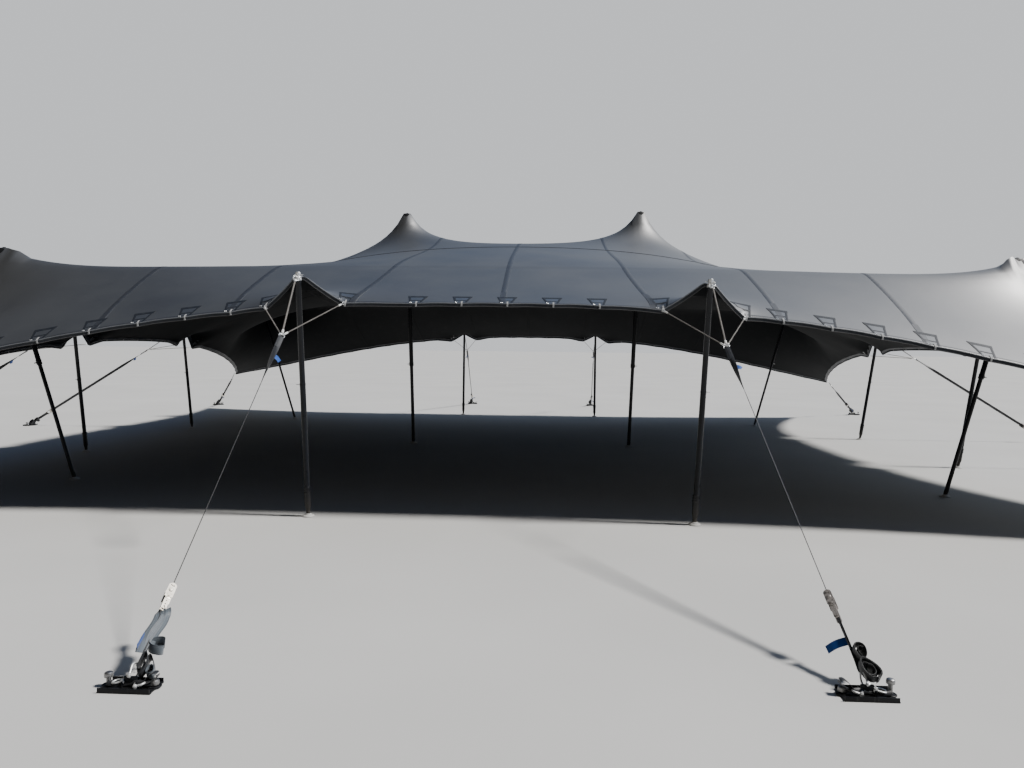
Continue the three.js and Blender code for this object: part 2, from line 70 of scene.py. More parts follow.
# Studio
# Plain pale floor out to the horizon, one soft high light from the right, and a soft surround that
# the camera doesn't see: dim and warm in front and to the left, dark overhead, and bright and cool
# low down behind the tent and to the right.
KEY_HEIGHT = math.radians(50)
KEY_STRENGTH = 6.0
KEY_SOFTNESS = math.radians(8)
KEY_COLOUR = (1.0, 0.97, 0.93)
KEY_FORWARD = -0.02
FLOOR_SIDE, FLOOR_BACK, FLOOR_DEPTH = 300, 500, -0.001
BACKDROP_COLOUR, BACKDROP_STRENGTH = (0.86, 0.88, 0.91, 1), 0.85
SURROUND_BRIGHT_SIDE = (0.75, 0.66, 0.0)
SURROUND_TONES = [(0.0, (0.110, 0.100, 0.080)), (0.36, (0.070, 0.064, 0.054)),
                  (0.44, (0.012, 0.018, 0.034)), (0.575, (0.024, 0.052, 0.125)),
                  (0.80, (0.105, 0.220, 0.450)), (0.87, (0.600, 0.690, 0.820)),
                  (1.0, (1.000, 1.040, 1.100))]


def add_node(tree, kind, values=None, **settings):
    """A node of one tree, with its settings, and with each named input linked or set."""
    made = tree.nodes.new(kind)
    for key, value in settings.items():
        setattr(made, key, value)
    for key, value in (values or {}).items():
        if isinstance(value, bpy.types.NodeSocket):
            tree.links.new(value, made.inputs[key])
        else:
            made.inputs[key].default_value = value
    return made


def add_ramp(tree, factor, stops):
    """A colour ramp read by one value. Stops are (place, grey or colour)."""
    ramp = add_node(tree, "ShaderNodeValToRGB", {"Fac": factor})
    ends = ramp.color_ramp.elements
    while len(ends) < len(stops):
        ends.new(0.5)
    for end, (place, tone) in zip(ends, stops):
        end.position = place
        end.color = (tone, tone, tone, 1) if isinstance(tone, (int, float)) else (*tone, 1)
    return ramp.outputs["Color"]


def add_noise(tree, place, scale, detail, rough=0.5):
    """The value of one noise texture."""
    return add_node(tree, "ShaderNodeTexNoise", {"Vector": place, "Scale": scale, "Detail": detail,
                                                 "Roughness": rough}).outputs["Fac"]


def new_material(name):
    """A material and its tree, which still lacks its shader."""
    material = bpy.data.materials.new(name)
    material.use_nodes = True
    material.node_tree.nodes.remove(material.node_tree.nodes["Principled BSDF"])
    return material, material.node_tree


def finish_material(tree, values):
    """The shader of a material, with its inputs linked or set."""
    shader = add_node(tree, "ShaderNodeBsdfPrincipled", values)
    tree.links.new(shader.outputs["BSDF"], tree.nodes["Material Output"].inputs["Surface"])


def add_bump(tree, height, strength, distance, **values):
    """The normal of one bump node, over another normal where one is given."""
    bump = {"Height": height, "Strength": strength, "Distance": distance, **values}
    return add_node(tree, "ShaderNodeBump", bump).outputs["Normal"]


floor_material, tree = new_material("floor_pale")
place = add_node(tree, "ShaderNodeTexCoord").outputs["Object"]
speckle = add_ramp(tree, add_noise(tree, place, 0.35, 6.0),
                   [(0.3, (0.50, 0.50, 0.49)), (0.7, (0.55, 0.55, 0.54))])
finish_material(tree, {"Base Color": speckle, "Roughness": 0.9, "Specular IOR Level": 0.15})

floor_mesh = bpy.data.meshes.new("floor")
floor_mesh.from_pydata([(-FLOOR_SIDE, -FLOOR_SIDE, FLOOR_DEPTH), (FLOOR_SIDE, -FLOOR_SIDE, FLOOR_DEPTH),
                        (FLOOR_SIDE, FLOOR_BACK, FLOOR_DEPTH), (-FLOOR_SIDE, FLOOR_BACK, FLOOR_DEPTH)],
                       [], [(0, 1, 2, 3)])
floor_mesh.materials.append(floor_material)
floor = bpy.data.objects.new("floor", floor_mesh)
bpy.context.scene.collection.objects.link(floor)

key = bpy.data.objects.new("key_light", bpy.data.lights.new("key_light", "SUN"))
key.data.energy = KEY_STRENGTH
key.data.angle = KEY_SOFTNESS
key.data.color = KEY_COLOUR
key_from = Vector((math.cos(KEY_HEIGHT), KEY_FORWARD, math.sin(KEY_HEIGHT)))
key.rotation_mode = "QUATERNION"
key.rotation_quaternion = key_from.to_track_quat("Z", "Y")
bpy.context.scene.collection.objects.link(key)

world = bpy.data.worlds.new("surround")
world.use_nodes = True
world_tree = world.node_tree
surround = world_tree.nodes["Background"]
way = add_node(world_tree, "ShaderNodeTexCoord").outputs["Generated"]
towards = add_node(world_tree, "ShaderNodeVectorMath", {0: way, 1: SURROUND_BRIGHT_SIDE},
                   operation="DOT_PRODUCT")
share = add_node(world_tree, "ShaderNodeMath", {0: towards.outputs["Value"], 1: 0.5, 2: 0.5},
                 operation="MULTIPLY_ADD")
world_tree.links.new(add_ramp(world_tree, share.outputs[0], SURROUND_TONES), surround.inputs["Color"])
seen = add_node(world_tree, "ShaderNodeBackground",
                {"Color": BACKDROP_COLOUR, "Strength": BACKDROP_STRENGTH})
rays = add_node(world_tree, "ShaderNodeLightPath")
mixed = add_node(world_tree, "ShaderNodeMixShader", {
    0: rays.outputs["Is Camera Ray"], 1: surround.outputs["Background"], 2: seen.outputs["Background"]})
world_tree.links.new(mixed.outputs["Shader"], world_tree.nodes["World Output"].inputs["Surface"])
bpy.context.scene.world = world


# Canopy
# One sheet of coated stretch cloth, sewn from ten 1.42 m widths and held up by six peaks, two
# ridges and its pulled hem. It takes the form of a membrane: every free point settles where the
# pull of its neighbours balances, harder from side to side than from front to back.
PANEL = 1.42
HALF_WIDTH = 5 * PANEL
HALF_DEPTH = 6.35
CLOTH_THICKNESS = 0.0016
CLOTH_STEP = 0.1
CROSS_PULL = 2.0
SWEEPS, OVERSHOOT = 620, 1.955
FIRST_HEIGHT = 2.75
FULLNESS, END_FULLNESS = 0.088, 0.115
FRONT_TIP, REAR_TIP, SIDE_TIP = 2.11, 1.75, 1.90
FRONT_EYES, REAR_EYES, SIDE_EYES = (1.64, 2.47), (1.42, 2.05), (1.54, 2.26)
COLUMNS = [0, .473, .947, 1.42, 1.64, 1.75, 2.05, 2.17, 2.47, 2.84, 3.313, 3.787, 4.26, 4.733, 5.207, 5.68,
           6.14, 6.26, 6.55, 6.83, 7.1]
ROWS = [.06, .35, .75, 1.15, 1.54, 1.7, 1.9, 2.26, 2.8, 3.35, 3.9, 4.38, 4.5, 4.95, 5.4, 5.87, 6.35]
TIP_HALF, PEAK_CELL = 0.06, 0.0601
PEAK_DOME = 1.6
DOORWAY_HALF = 2.6

# Heights of the hem: in the middle of each edge, its fall to the corners, and its rise at the poles.
# Pairs are for the left and the right half of the tent.
FRONT_CROWN, REAR_CROWN, SIDE_CROWN = 2.245, 2.11, 1.88
FRONT_FALL, REAR_FALL, SIDE_FALL = (1.25, 1.31), 1.11, 0.88
FRONT_POWER, REAR_POWER, SIDE_POWER = (2.6, 2.4), 2.3, 2.2
FRONT_RISE, REAR_RISE, SIDE_RISE = (0.365, 0.350), 0.13, 0.33
FRONT_DIP, OTHER_DIP = (-0.02, 0.01), 0.06
FRONT_INNER_REACH, PEAK_REACH = 0.47, 0.36
PEAK_SAG = 0.016
SPRING_IN, SPRING_UP = 0.012, 0.008

# Outline of the hem from above: half the depth in the middle, and how far the corners are pulled out.
EDGE_DEPTH, EDGE_BOW = 6.3, 0.8
CORNER_PULL = (1.2, 1.0)
SIDE_MIDDLE, SIDE_CORNER = (7.26, 7.19), (8.3, 8.1)
SIDE_SPREAD = 0.118

# The two ridges run from side to side between the wing peaks, a little lower on their way out, and
# climb at their ends. They are eased a little over their length.
RIDGE_V = 4.5
RIDGE_HEIGHT, RIDGE_TOP = 2.797, 2.99
RIDGE_FALL, FALL_START, FALL_RUN = (0.008, 0.028), 2, 2.4
CLIMB, CLIMB_START, CLIMB_RUN, CLIMB_POWER = 0.25, 4.4, 1.74, 3.2
RIDGE_END = 6.3
EASED_DEPTH, EASED_END = 0.22, 5.9


def cut_lines(lengths):
    """Places of the cloth's grid lines: each stated length cut in equal parts."""
    lines = [lengths[0]]
    for first, last in zip(lengths[:-1], lengths[1:]):
        parts = max(1, math.ceil((last - first) / CLOTH_STEP - 1e-9))
        lines += [first + (last - first) * k / parts for k in range(1, parts + 1)]
    return np.array(lines)


us = cut_lines([-c for c in COLUMNS[:0:-1]] + COLUMNS)
vs = cut_lines([-r for r in ROWS[::-1]] + ROWS)


def by_half(u, pair):
    """The first of two values in the left half of the tent, the second in its right half."""
    return np.where(u > 0, pair[1], pair[0])


def edge_peak(place, centre, rise, inner, dip):
    """Lift of a hem near its pole: up to rise at the pole, down to -dip at the bridle ropes."""
    share = np.abs(place - centre) / np.where(place < centre, inner, PEAK_REACH)
    sag = PEAK_SAG * np.sin(np.pi * np.clip(share, 0, 1))
    return np.where(share < 1, rise - (rise + dip) * share - sag, -dip * np.maximum(0, 2 - share))


def front_hem_height(u):
    """Height of the front hem, whose two halves fall differently."""
    peak = edge_peak(np.abs(u), FRONT_TIP, by_half(u, FRONT_RISE), FRONT_INNER_REACH, by_half(u, FRONT_DIP))
    return FRONT_CROWN - by_half(u, FRONT_FALL) * (np.abs(u) / HALF_WIDTH) ** by_half(u, FRONT_POWER) + peak


def both_ways(places):
    """Each place on both sides of the middle."""
    return [side * place for side in (-1, 1) for place in places]


# Places along the hem where it is tied.
TIE_STEP = PANEL / 3
TIE_SHIFT = 0.045
OUTER_TIES = [2.84, 3.313, 3.787, 4.26, 4.733, 5.207, 5.68, 6.2, 6.7, HALF_WIDTH]
FRONT_TIES = sorted([TIE_SHIFT + k * TIE_STEP for k in range(-2, 3)]
                    + both_ways([1.64, FRONT_TIP, 2.47] + OUTER_TIES))
REAR_TIES = sorted([k * TIE_STEP for k in range(-2, 3)]
                   + both_ways([1.42, REAR_TIP, 2.05, 2.44] + OUTER_TIES))
SIDE_TIES = sorted([0.0] + both_ways([0.5, 1.02, 1.54, SIDE_TIP, 2.26, 2.8, 3.35, 3.9, 4.5, 4.95, 5.4, 5.87,
                                      HALF_DEPTH]))


def spring_back(places, ties):
    """How far the hem springs back towards the cloth: 0 at each tie, 1 half way between two."""
    ties = np.array(ties)
    after = np.clip(np.searchsorted(ties, places), 1, len(ties) - 1)
    share = (places - ties[after - 1]) / (ties[after] - ties[after - 1])
    return np.sin(np.pi * np.clip(share, 0, 1))


def hem_lines():
    """The four edges of the cloth as they hang, on the grid's lines."""
    X, Y, Z = (np.zeros((len(vs), len(us))) for _ in range(3))
    a = np.abs(us) / HALF_WIDTH
    front_spring, rear_spring = spring_back(us, FRONT_TIES), spring_back(us, REAR_TIES)
    for row, end, spring in ((0, -1, front_spring), (-1, 1, rear_spring)):
        X[row] = us + np.sign(us) * by_half(us, CORNER_PULL) * a ** 6
        Y[row] = end * (EDGE_DEPTH + EDGE_BOW * a ** 4 - SPRING_IN * spring)
    Z[0] = front_hem_height(us)
    for side in (-1, 1):
        edges = (FRONT_TIP - TIP_HALF, FRONT_TIP + TIP_HALF)
        low, high = [float(front_hem_height(np.array(side * u))) for u in edges]
        flat = np.abs(us - side * FRONT_TIP) < PEAK_CELL
        Z[0][flat] = (low + (high - low) * (side * us - edges[0]) / (2 * TIP_HALF))[flat]
    Z[0] += SPRING_UP * front_spring * (np.abs(np.abs(us) - FRONT_TIP) > PEAK_REACH + 0.01)
    Z[-1] = (REAR_CROWN - REAR_FALL * a ** REAR_POWER
             + edge_peak(np.abs(us), REAR_TIP, REAR_RISE, PEAK_REACH, OTHER_DIP) + SPRING_UP * rear_spring)
    b = np.abs(vs) / HALF_DEPTH
    side_spring = spring_back(vs, SIDE_TIES)
    side_height = (SIDE_CROWN - SIDE_FALL * b ** SIDE_POWER
                   + edge_peak(np.abs(vs), SIDE_TIP, SIDE_RISE, PEAK_REACH, OTHER_DIP))
    inside = slice(1, len(vs) - 1)
    for column, side, middle, corner in zip((0, -1), (-1, 1), SIDE_MIDDLE, SIDE_CORNER):
        X[inside, column] = (side * (middle + (corner - middle) * b ** 4 - SPRING_IN * side_spring))[inside]
        Y[inside, column] = (vs * (1 + SIDE_SPREAD * b ** 4))[inside]
        Z[inside, column] = side_height[inside]
    return X, Y, Z


def ridge_height(u):
    """Height of a ridge, up to where the wing peaks take it over."""
    m = np.abs(u)
    flat = RIDGE_HEIGHT - by_half(u, RIDGE_FALL) * np.clip((m - FALL_START) / FALL_RUN, 0, 1)
    return np.minimum(flat + CLIMB * (np.maximum(0, m - CLIMB_START) / CLIMB_RUN) ** CLIMB_POWER, RIDGE_TOP)


# The peaks and their poles: place on the cloth, foot on the ground, top with its height, the pole's
# radius and the share of its length that is the inner tube.
WING_V = 4.44
peaks = {}
for side, side_name, height in ((-1, "left", 4.255), (1, "right", 4.305)):
    peaks[f"centre_{side_name}"] = {"cloth": (side * 2.11, 0.0), "foot": (side * 2.0, 0.0),
                                    "top": (side * 2.14, 0.0, height), "radius": 0.038, "share": 0.34}
for end_name, end in (("front", -1), ("rear", 1)):
    for side_name, u, foot, top, height in (("left", -6.2, -5.72, -6.62, 3.02),
                                            ("right", 6.2, 5.47, 6.23, 2.97)):
        peaks[f"{end_name}_wing_{side_name}"] = {"cloth": (u, end * WING_V), "foot": (foot, end * WING_V),
                                                 "top": (top, end * WING_V, height), "radius": 0.030,
                                                 "share": 0.5}


def form_cloth():
    """Settles the sheet between its held points, black and white squares of the grid in turn."""
    X, Y, Z = hem_lines()
    U, V = np.meshgrid(us, vs)
    held = np.zeros(U.shape, bool)
    held[[0, -1], :] = True
    held[:, [0, -1]] = True
    X, Y, Z = np.where(held, X, U), np.where(held, Y, V), np.where(held, Z, FIRST_HEIGHT)
    high = held.copy()
    for end in (-1, 1):
        row = int(np.argmin(np.abs(vs - end * RIDGE_V)))
        on_ridge = (np.abs(us) < RIDGE_END) & ~held[row]
        Z[row, on_ridge] = ridge_height(us)[on_ridge]
        high[row, on_ridge] = True
    for (u, v), (x, y, z) in ((peak["cloth"], peak["top"]) for peak in peaks.values()):
        top = (np.abs(U - u) < PEAK_CELL) & (np.abs(V - v) < PEAK_CELL)
        X[top], Y[top] = (x + U - u)[top], (y + V - v)[top]
        Z[top] = (z - PEAK_DOME * ((U - u) ** 2 + (V - v) ** 2))[top]
        held |= top
        high |= top
    du, dv = np.diff(us), np.diff(vs)
    wide, deep = (du[:-1] + du[1:]) / 2, (dv[:-1] + dv[1:]) / 2
    east, west = (CROSS_PULL * deep[:, None] / step[None, :] for step in (du[1:], du[:-1]))
    north, south = (wide[None, :] / step[:, None] for step in (dv[1:], dv[:-1]))
    total = east + west + north + south
    fullness = np.where(np.abs(V) < RIDGE_V, FULLNESS, np.where(np.abs(U) > DOORWAY_HALF, END_FULLNESS, 0))
    billow = fullness[1:-1, 1:-1] * deep[:, None] * wide[None, :]
    rows, columns = np.indices(total.shape)
    for _ in range(SWEEPS):
        for colour in (0, 1):
            square = (rows + columns) % 2 == colour
            for values, fixed, push in ((X, held, 0), (Y, held, 0), (Z, high, billow)):
                inner = values[1:-1, 1:-1]
                settled = (east * values[1:-1, 2:] + west * values[1:-1, :-2] + north * values[2:, 1:-1]
                           + south * values[:-2, 1:-1] + push) / total
                free = square & ~fixed[1:-1, 1:-1]
                inner[free] += OVERSHOOT * (settled - inner)[free]
    near_ridge = (np.abs(np.abs(V) - RIDGE_V) < EASED_DEPTH) & (np.abs(U) < EASED_END)
    for _ in range(2):
        eased = Z.copy()
        eased[1:-1] = Z[1:-1] * 0.5 + (Z[2:] + Z[:-2]) * 0.25
        Z = np.where(near_ridge, eased, Z)
    return np.stack([X, Y, Z], axis=-1)


cloth = form_cloth()
along_u = np.gradient(cloth, us, axis=1)
along_v = np.gradient(cloth, vs, axis=0)
cloth_up = np.cross(along_u, along_v)
cloth_up /= np.linalg.norm(cloth_up, axis=-1, keepdims=True)


def read_cloth(field, u, v):
    """A field of the cloth, such as its points, at the cloth's own coordinates u and v."""
    u, v = np.broadcast_arrays(np.asarray(u, float), np.asarray(v, float))
    i = np.clip(np.searchsorted(us, u, side="right") - 1, 0, len(us) - 2)
    j = np.clip(np.searchsorted(vs, v, side="right") - 1, 0, len(vs) - 2)
    a = np.clip((u - us[i]) / (us[i + 1] - us[i]), 0, 1)[..., None]
    b = np.clip((v - vs[j]) / (vs[j + 1] - vs[j]), 0, 1)[..., None]
    near = field[j, i] * (1 - a) + field[j, i + 1] * a
    far = field[j + 1, i] * (1 - a) + field[j + 1, i + 1] * a
    return near * (1 - b) + far * b


def on_cloth(u, v, lift=0.0):
    """Points of the cloth, raised off it by lift."""
    return read_cloth(cloth, u, v) + read_cloth(cloth_up, u, v) * np.asarray(lift, float)[..., None]


class Shape:
    """Gathers the faces of one piece, with their flat coordinates in metres and their materials."""

    def __init__(self):
        self.points, self.faces, self.flats, self.skins = [], [], [], []

    def add(self, points, faces, flats, skins):
        """Faces on points of their own, with flat coordinates and a material number for each."""
        start = len(self.points)
        self.points += [tuple(map(float, p)) for p in points]
        self.faces += [[start + k for k in face] for face in faces]
        self.flats += flats
        self.skins += skins

    def sheet(self, top, bottom, flat, skins=(0, 0)):
        """A thin closed slab between two grids of points; flat gives its coordinates."""
        deep, wide = top.shape[:2]
        count = deep * wide
        points = np.concatenate([top.reshape(-1, 3), bottom.reshape(-1, 3)])
        spots = [tuple(map(float, f)) for f in np.asarray(flat).reshape(-1, 2)] * 2
        upper, lower, rim = [], [], []
        for j in range(deep - 1):
            for i in range(wide - 1):
                k = j * wide + i
                upper.append((k, k + 1, k + wide + 1, k + wide))
                lower.append((k + count, k + wide + count, k + wide + 1 + count, k + 1 + count))
        border = (list(range(wide - 1)) + [j * wide + wide - 1 for j in range(deep - 1)]
                  + [(deep - 1) * wide + i for i in range(wide - 1, 0, -1)]
                  + [j * wide for j in range(deep - 1, 0, -1)])
        for k, a in enumerate(border):
            b = border[(k + 1) % len(border)]
            rim.append((a, a + count, b + count, b))
        faces = upper + lower + rim
        self.add(points, faces, [[spots[k] for k in face] for face in faces],
                 [skins[0]] * len(upper) + [skins[1]] * len(lower + rim))

    def loft(self, rings, skin=0, closed=False, spots=None):
        """A skin over rings of points of equal count. Coordinates are girth, or spots, and length."""
        rings = [[Vector(p) for p in ring] for ring in rings]
        count = len(rings[0])
        girth = [0.0]
        for k in range(count):
            girth.append(girth[-1] + (rings[0][(k + 1) % count] - rings[0][k]).length)
        if spots:
            girth = list(spots) + [spots[0]]
        middles = [sum(ring, Vector()) / count for ring in rings]
        run = [0.0]
        for a, b in zip(middles[:-1], middles[1:]):
            run.append(run[-1] + (b - a).length)
        faces, flats = [], []
        spans = len(rings) if closed else len(rings) - 1
        for n in range(spans):
            m = (n + 1) % len(rings)
            far = run[m] if m else run[-1] + (middles[0] - middles[-1]).length
            for k in range(count):
                q = (k + 1) % count
                faces.append((n * count + k, n * count + q, m * count + q, m * count + k))
                flats.append([(girth[k], run[n]), (girth[k + 1], run[n]), (girth[k + 1], far),
                              (girth[k], far)])
        if not closed:
            for n, order in ((0, range(count - 1, -1, -1)), (len(rings) - 1, range(count))):
                order = list(order)
                faces.append([n * count + k for k in order])
                flats.append([(girth[k], run[n]) for k in order])
        self.add([p for ring in rings for p in ring], faces, flats, [skin] * len(faces))

    def lathe(self, start, end, profile, sides, skin=0):
        """Turned form about the line from start to end; the profile is (distance, radius)."""
        start, end = Vector(start), Vector(end)
        axis = (end - start).normalized()
        across, upward = axes_about(axis)
        self.loft([circle_at(start + axis * distance, across, upward, max(radius, 1e-5), sides)
                   for distance, radius in profile], skin)

    def tube(self, path, radius, sides, skin=0, closed=False):
        """A round bar along a path of points."""
        path = [Vector(p) for p in path]
        rings = []
        across = None
        for n, point in enumerate(path):
            before = path[n - 1] if n or closed else path[n]
            after = path[(n + 1) % len(path)] if n + 1 < len(path) or closed else path[n]
            axis = (after - before).normalized()
            if across is None:
                across, _ = axes_about(axis)
            across = (across - axis * across.dot(axis)).normalized()
            rings.append(circle_at(point, across, axis.cross(across), radius, sides))
        self.loft(rings, skin, closed=closed)

    def ring(self, centre, axis, radius, bar, around=32, sides=10):
        """A closed ring of round bar; its axis is the line through its hole."""
        across, upward = axes_about(Vector(axis).normalized())
        self.tube(circle_at(Vector(centre), across, upward, radius, around), bar / 2, sides, closed=True)

    def ribbon(self, path, facing, width, thickness, skin=0):
        """A flat strap along a path; facing gives the direction of its width, one or one a point."""
        rings = []
        for n, point in enumerate(path):
            point = Vector(point)
            before = Vector(path[max(n - 1, 0)])
            after = Vector(path[min(n + 1, len(path) - 1)])
            axis = (after - before).normalized()
            side = Vector(facing[n] if isinstance(facing, list) else facing)
            side = (side - axis * side.dot(axis)).normalized() * width / 2
            out = axis.cross(side).normalized() * thickness / 2
            rings.append([point - side - out * 0.4, point - side * 0.94 - out, point + side * 0.94 - out,
                          point + side - out * 0.4, point + side + out * 0.4, point + side * 0.94 + out,
                          point - side * 0.94 + out, point - side + out * 0.4])
        self.loft(rings, skin, spots=[width * c for c in (-0.5, -0.47, 0.47, 0.5, 0.5, 0.47, -0.47, -0.5)])

    def block(self, centre, x_axis, y_axis, size, bevel, skin=0):
        """A bevelled block with its own x and y directions."""
        x_axis = Vector(x_axis).normalized()
        y_axis = Vector(y_axis)
        y_axis = (y_axis - x_axis * y_axis.dot(x_axis)).normalized()
        turned = Matrix((x_axis, y_axis, x_axis.cross(y_axis))).transposed().to_4x4()
        made = bmesh.new()
        bmesh.ops.create_cube(made, size=1.0)
        for vert in made.verts:
            vert.co = Vector(a * b for a, b in zip(vert.co, size))
        bmesh.ops.bevel(made, geom=made.edges[:], offset=bevel, segments=2, affect="EDGES", profile=0.6)
        made.transform(Matrix.Translation(centre) @ turned)
        made.verts.index_update()
        points = [v.co.copy() for v in made.verts]
        faces = [[v.index for v in face.verts] for face in made.faces]
        local = turned.to_3x3().transposed()
        flats = [[tuple((local @ (points[k] - Vector(centre)))[:2]) for k in face] for face in faces]
        made.free()
        self.add(points, faces, flats, [skin] * len(faces))

    def build(self, name, slot, materials, sharp=34):
        """The finished piece: one mesh at the origin, riding on the frame. The slot is not used."""
        mesh = bpy.data.meshes.new(name)
        mesh.from_pydata(self.points, [], self.faces)
        spots = [place for flat in self.flats for spot in flat for place in spot]
        mesh.uv_layers.new(name="flat").data.foreach_set("uv", np.array(spots, np.float32))
        mesh.polygons.foreach_set("material_index", np.array(self.skins, np.int32))
        for material in materials:
            mesh.materials.append(material)
        mesh.polygons.foreach_set("use_smooth", np.ones(len(mesh.polygons), bool))
        mesh.update()
        mesh.set_sharp_from_angle(angle=math.radians(sharp))
        piece = bpy.data.objects.new(name, mesh)
        bpy.context.scene.collection.objects.link(piece)
        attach(piece, "root")
        return piece


def turns_of(count):
    """Equal steps once round a circle."""
    return [2 * math.pi * k / count for k in range(count)]


def circle_at(middle, across, upward, radius, count):
    """Points round a circle that lies in two directions."""
    return [middle + (across * math.cos(t) + upward * math.sin(t)) * radius for t in turns_of(count)]


def axes_about(axis):
    """Two directions square to an axis: one level, one upward."""
    across = Vector((-axis.y, axis.x, 0))
    if across.length < 0.02:
        across = Vector((1, 0, 0)) - axis * axis.x
    across.normalize()
    return across, axis.cross(across)


def new_group(name, inputs, outputs):
    """An empty shader group: a vector and named values in, named values out."""
    group = bpy.data.node_groups.new(name, "ShaderNodeTree")
    group.interface.new_socket("Vector", in_out="INPUT", socket_type="NodeSocketVector")
    for label, value in inputs.items():
        socket = group.interface.new_socket(label, in_out="INPUT", socket_type="NodeSocketFloat")
        socket.default_value = value
    for label in outputs:
        group.interface.new_socket(label, in_out="OUTPUT", socket_type="NodeSocketFloat")
    return group, group.nodes.new("NodeGroupInput"), group.nodes.new("NodeGroupOutput")


def calc(tree, operation, a, b=None, clamp=False):
    """One sum on values."""
    made = add_node(tree, "ShaderNodeMath", {0: a} if b is None else {0: a, 1: b}, operation=operation)
    made.use_clamp = clamp
    return made.outputs[0]


def times(tree, a, b):
    """One product of values."""
    return calc(tree, "MULTIPLY", a, b)


def mix_colour(tree, factor, a, b):
    """A mix of two colours, each given or linked."""
    made = add_node(tree, "ShaderNodeMix", data_type="RGBA")
    for socket, value in ((made.inputs["Factor"], factor), (made.inputs[6], a), (made.inputs[7], b)):
        if isinstance(value, bpy.types.NodeSocket):
            tree.links.new(value, socket)
        else:
            socket.default_value = value if isinstance(value, (int, float)) else (*value, 1)
    return made.outputs[2]


# Threads of a cloth: two sets of fine rounded ribs that cross, in the cloth's own coordinates.
weave, entry, leave = new_group("weave", {"Threads": 700.0}, ["Height", "Tone"])
split = add_node(weave, "ShaderNodeSeparateXYZ", {"Vector": entry.outputs["Vector"]})
turn = times(weave, entry.outputs["Threads"], 2 * math.pi)
rib_u = calc(weave, "SINE", times(weave, split.outputs["X"], turn))
rib_v = calc(weave, "SINE", times(weave, split.outputs["Y"], turn))
weave_height = calc(weave, "ADD", times(weave, times(weave, rib_u, rib_v), 0.5), 0.5)
slub = add_noise(weave, entry.outputs["Vector"], 240.0, 2.0)
weave.links.new(weave_height, leave.inputs["Height"])
weave_tone = calc(weave, "ADD", times(weave, weave_height, 0.5), times(weave, slub, 0.5))
weave.links.new(weave_tone, leave.inputs["Tone"])

# Weather on a surface: broad tone changes, fine dust and faint runs down the slope.
weather, entry, leave = new_group("weather", {"Scale": 1.0}, ["Broad", "Dust", "Runs"])
place, scale = entry.outputs["Vector"], entry.outputs["Scale"]
stretched = add_node(weather, "ShaderNodeVectorMath", {0: place, 1: (7.0, 0.55, 1.0)}, operation="MULTIPLY")
weather.links.new(add_noise(weather, place, scale, 4.0, 0.55), leave.inputs["Broad"])
weather.links.new(add_noise(weather, place, times(weather, scale, 9.0), 8.0, 0.7), leave.inputs["Dust"])
weather.links.new(add_noise(weather, stretched.outputs["Vector"], scale, 5.0, 0.6), leave.inputs["Runs"])


def cloth_material(name, dark, light, rough, gloss, wrinkle, index=1.5, sheen=0.0):
    """Coated cloth: woven relief, slack ripples, weathered tone and a shine that grows at low angles."""
    material, tree = new_material(name)
    flat = add_node(tree, "ShaderNodeUVMap", uv_map="flat").outputs["UV"]
    weathered = add_node(tree, "ShaderNodeGroup", {"Vector": flat, "Scale": 0.8}, node_tree=weather)
    woven = add_node(tree, "ShaderNodeGroup", {"Vector": flat}, node_tree=weave)
    tone = calc(tree, "ADD", times(tree, weathered.outputs["Broad"], 0.6),
                times(tree, weathered.outputs["Runs"], 0.4))
    colour = mix_colour(tree, add_ramp(tree, tone, [(0.3, 0.0), (0.7, 1.0)]), dark, light)
    colour = mix_colour(tree, add_ramp(tree, weathered.outputs["Dust"], [(0.52, 0.0), (0.85, 0.06)]),
                        colour, (0.17, 0.17, 0.17))
    colour = mix_colour(tree, times(tree, woven.outputs["Tone"], 0.16), colour, (0.0, 0.0, 0.0))
    roughness = add_ramp(tree, weathered.outputs["Broad"], [(0.25, rough - 0.05), (0.75, rough + 0.05)])
    ripple = add_noise(tree, flat, 2.2, 3.0)
    normal = add_bump(tree, ripple, 0.5, wrinkle)
    normal = add_bump(tree, woven.outputs["Height"], 0.25, 0.0003, Normal=normal)
    finish_material(tree, {
        "Base Color": colour, "Roughness": roughness, "Normal": normal,
        "Specular IOR Level": gloss, "IOR": index, "Sheen Weight": sheen, "Sheen Roughness": 0.5,
        "Sheen Tint": (0.80, 0.86, 0.95, 1)})
    return material


cloth_top = cloth_material("canopy_cloth_top", (0.005, 0.008, 0.014), (0.008, 0.013, 0.020), rough=0.53,
                           gloss=1.0, wrinkle=0.006, index=1.9)
cloth_under = cloth_material("canopy_cloth_under", (0.006, 0.007, 0.008), (0.010, 0.011, 0.012), rough=0.80,
                             gloss=0.15, wrinkle=0.004)

shape = Shape()
U, V = np.meshgrid(us, vs)
half = cloth_up * (CLOTH_THICKNESS / 2)
shape.sheet(cloth + half, cloth - half, np.stack([U, V], axis=-1), skins=(0, 1))
canopy = shape.build("canopy", "canopy_cloth", [cloth_top, cloth_under], sharp=60)
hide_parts(*[f"canopy_{deep}_{wide}" for deep in ("front", "centre", "rear")
                      for wide in ("left", "middle", "right")])


# Seams
# Two widths are lapped 65 mm and sewn with two rows, so a seam is a raised double band. Near the hem
# the tight thread gathers it into small cross puckers. Two thicker seams cross the tent, and the
# outermost widths show no seam.
SEAM_WIDTH, CROSS_SEAM_WIDTH = 0.065, 0.045
SEAM_LIFT, CROSS_SEAM_LIFT = 0.0016, 0.006
CROSS_SEAM_V = 1.7
SEAM_BENDS = {1: 0.14, 3: -0.05}
PUCKER_REACH, PUCKER_LENGTH, PUCKER_HEIGHT = 0.62, 0.054, 0.0042


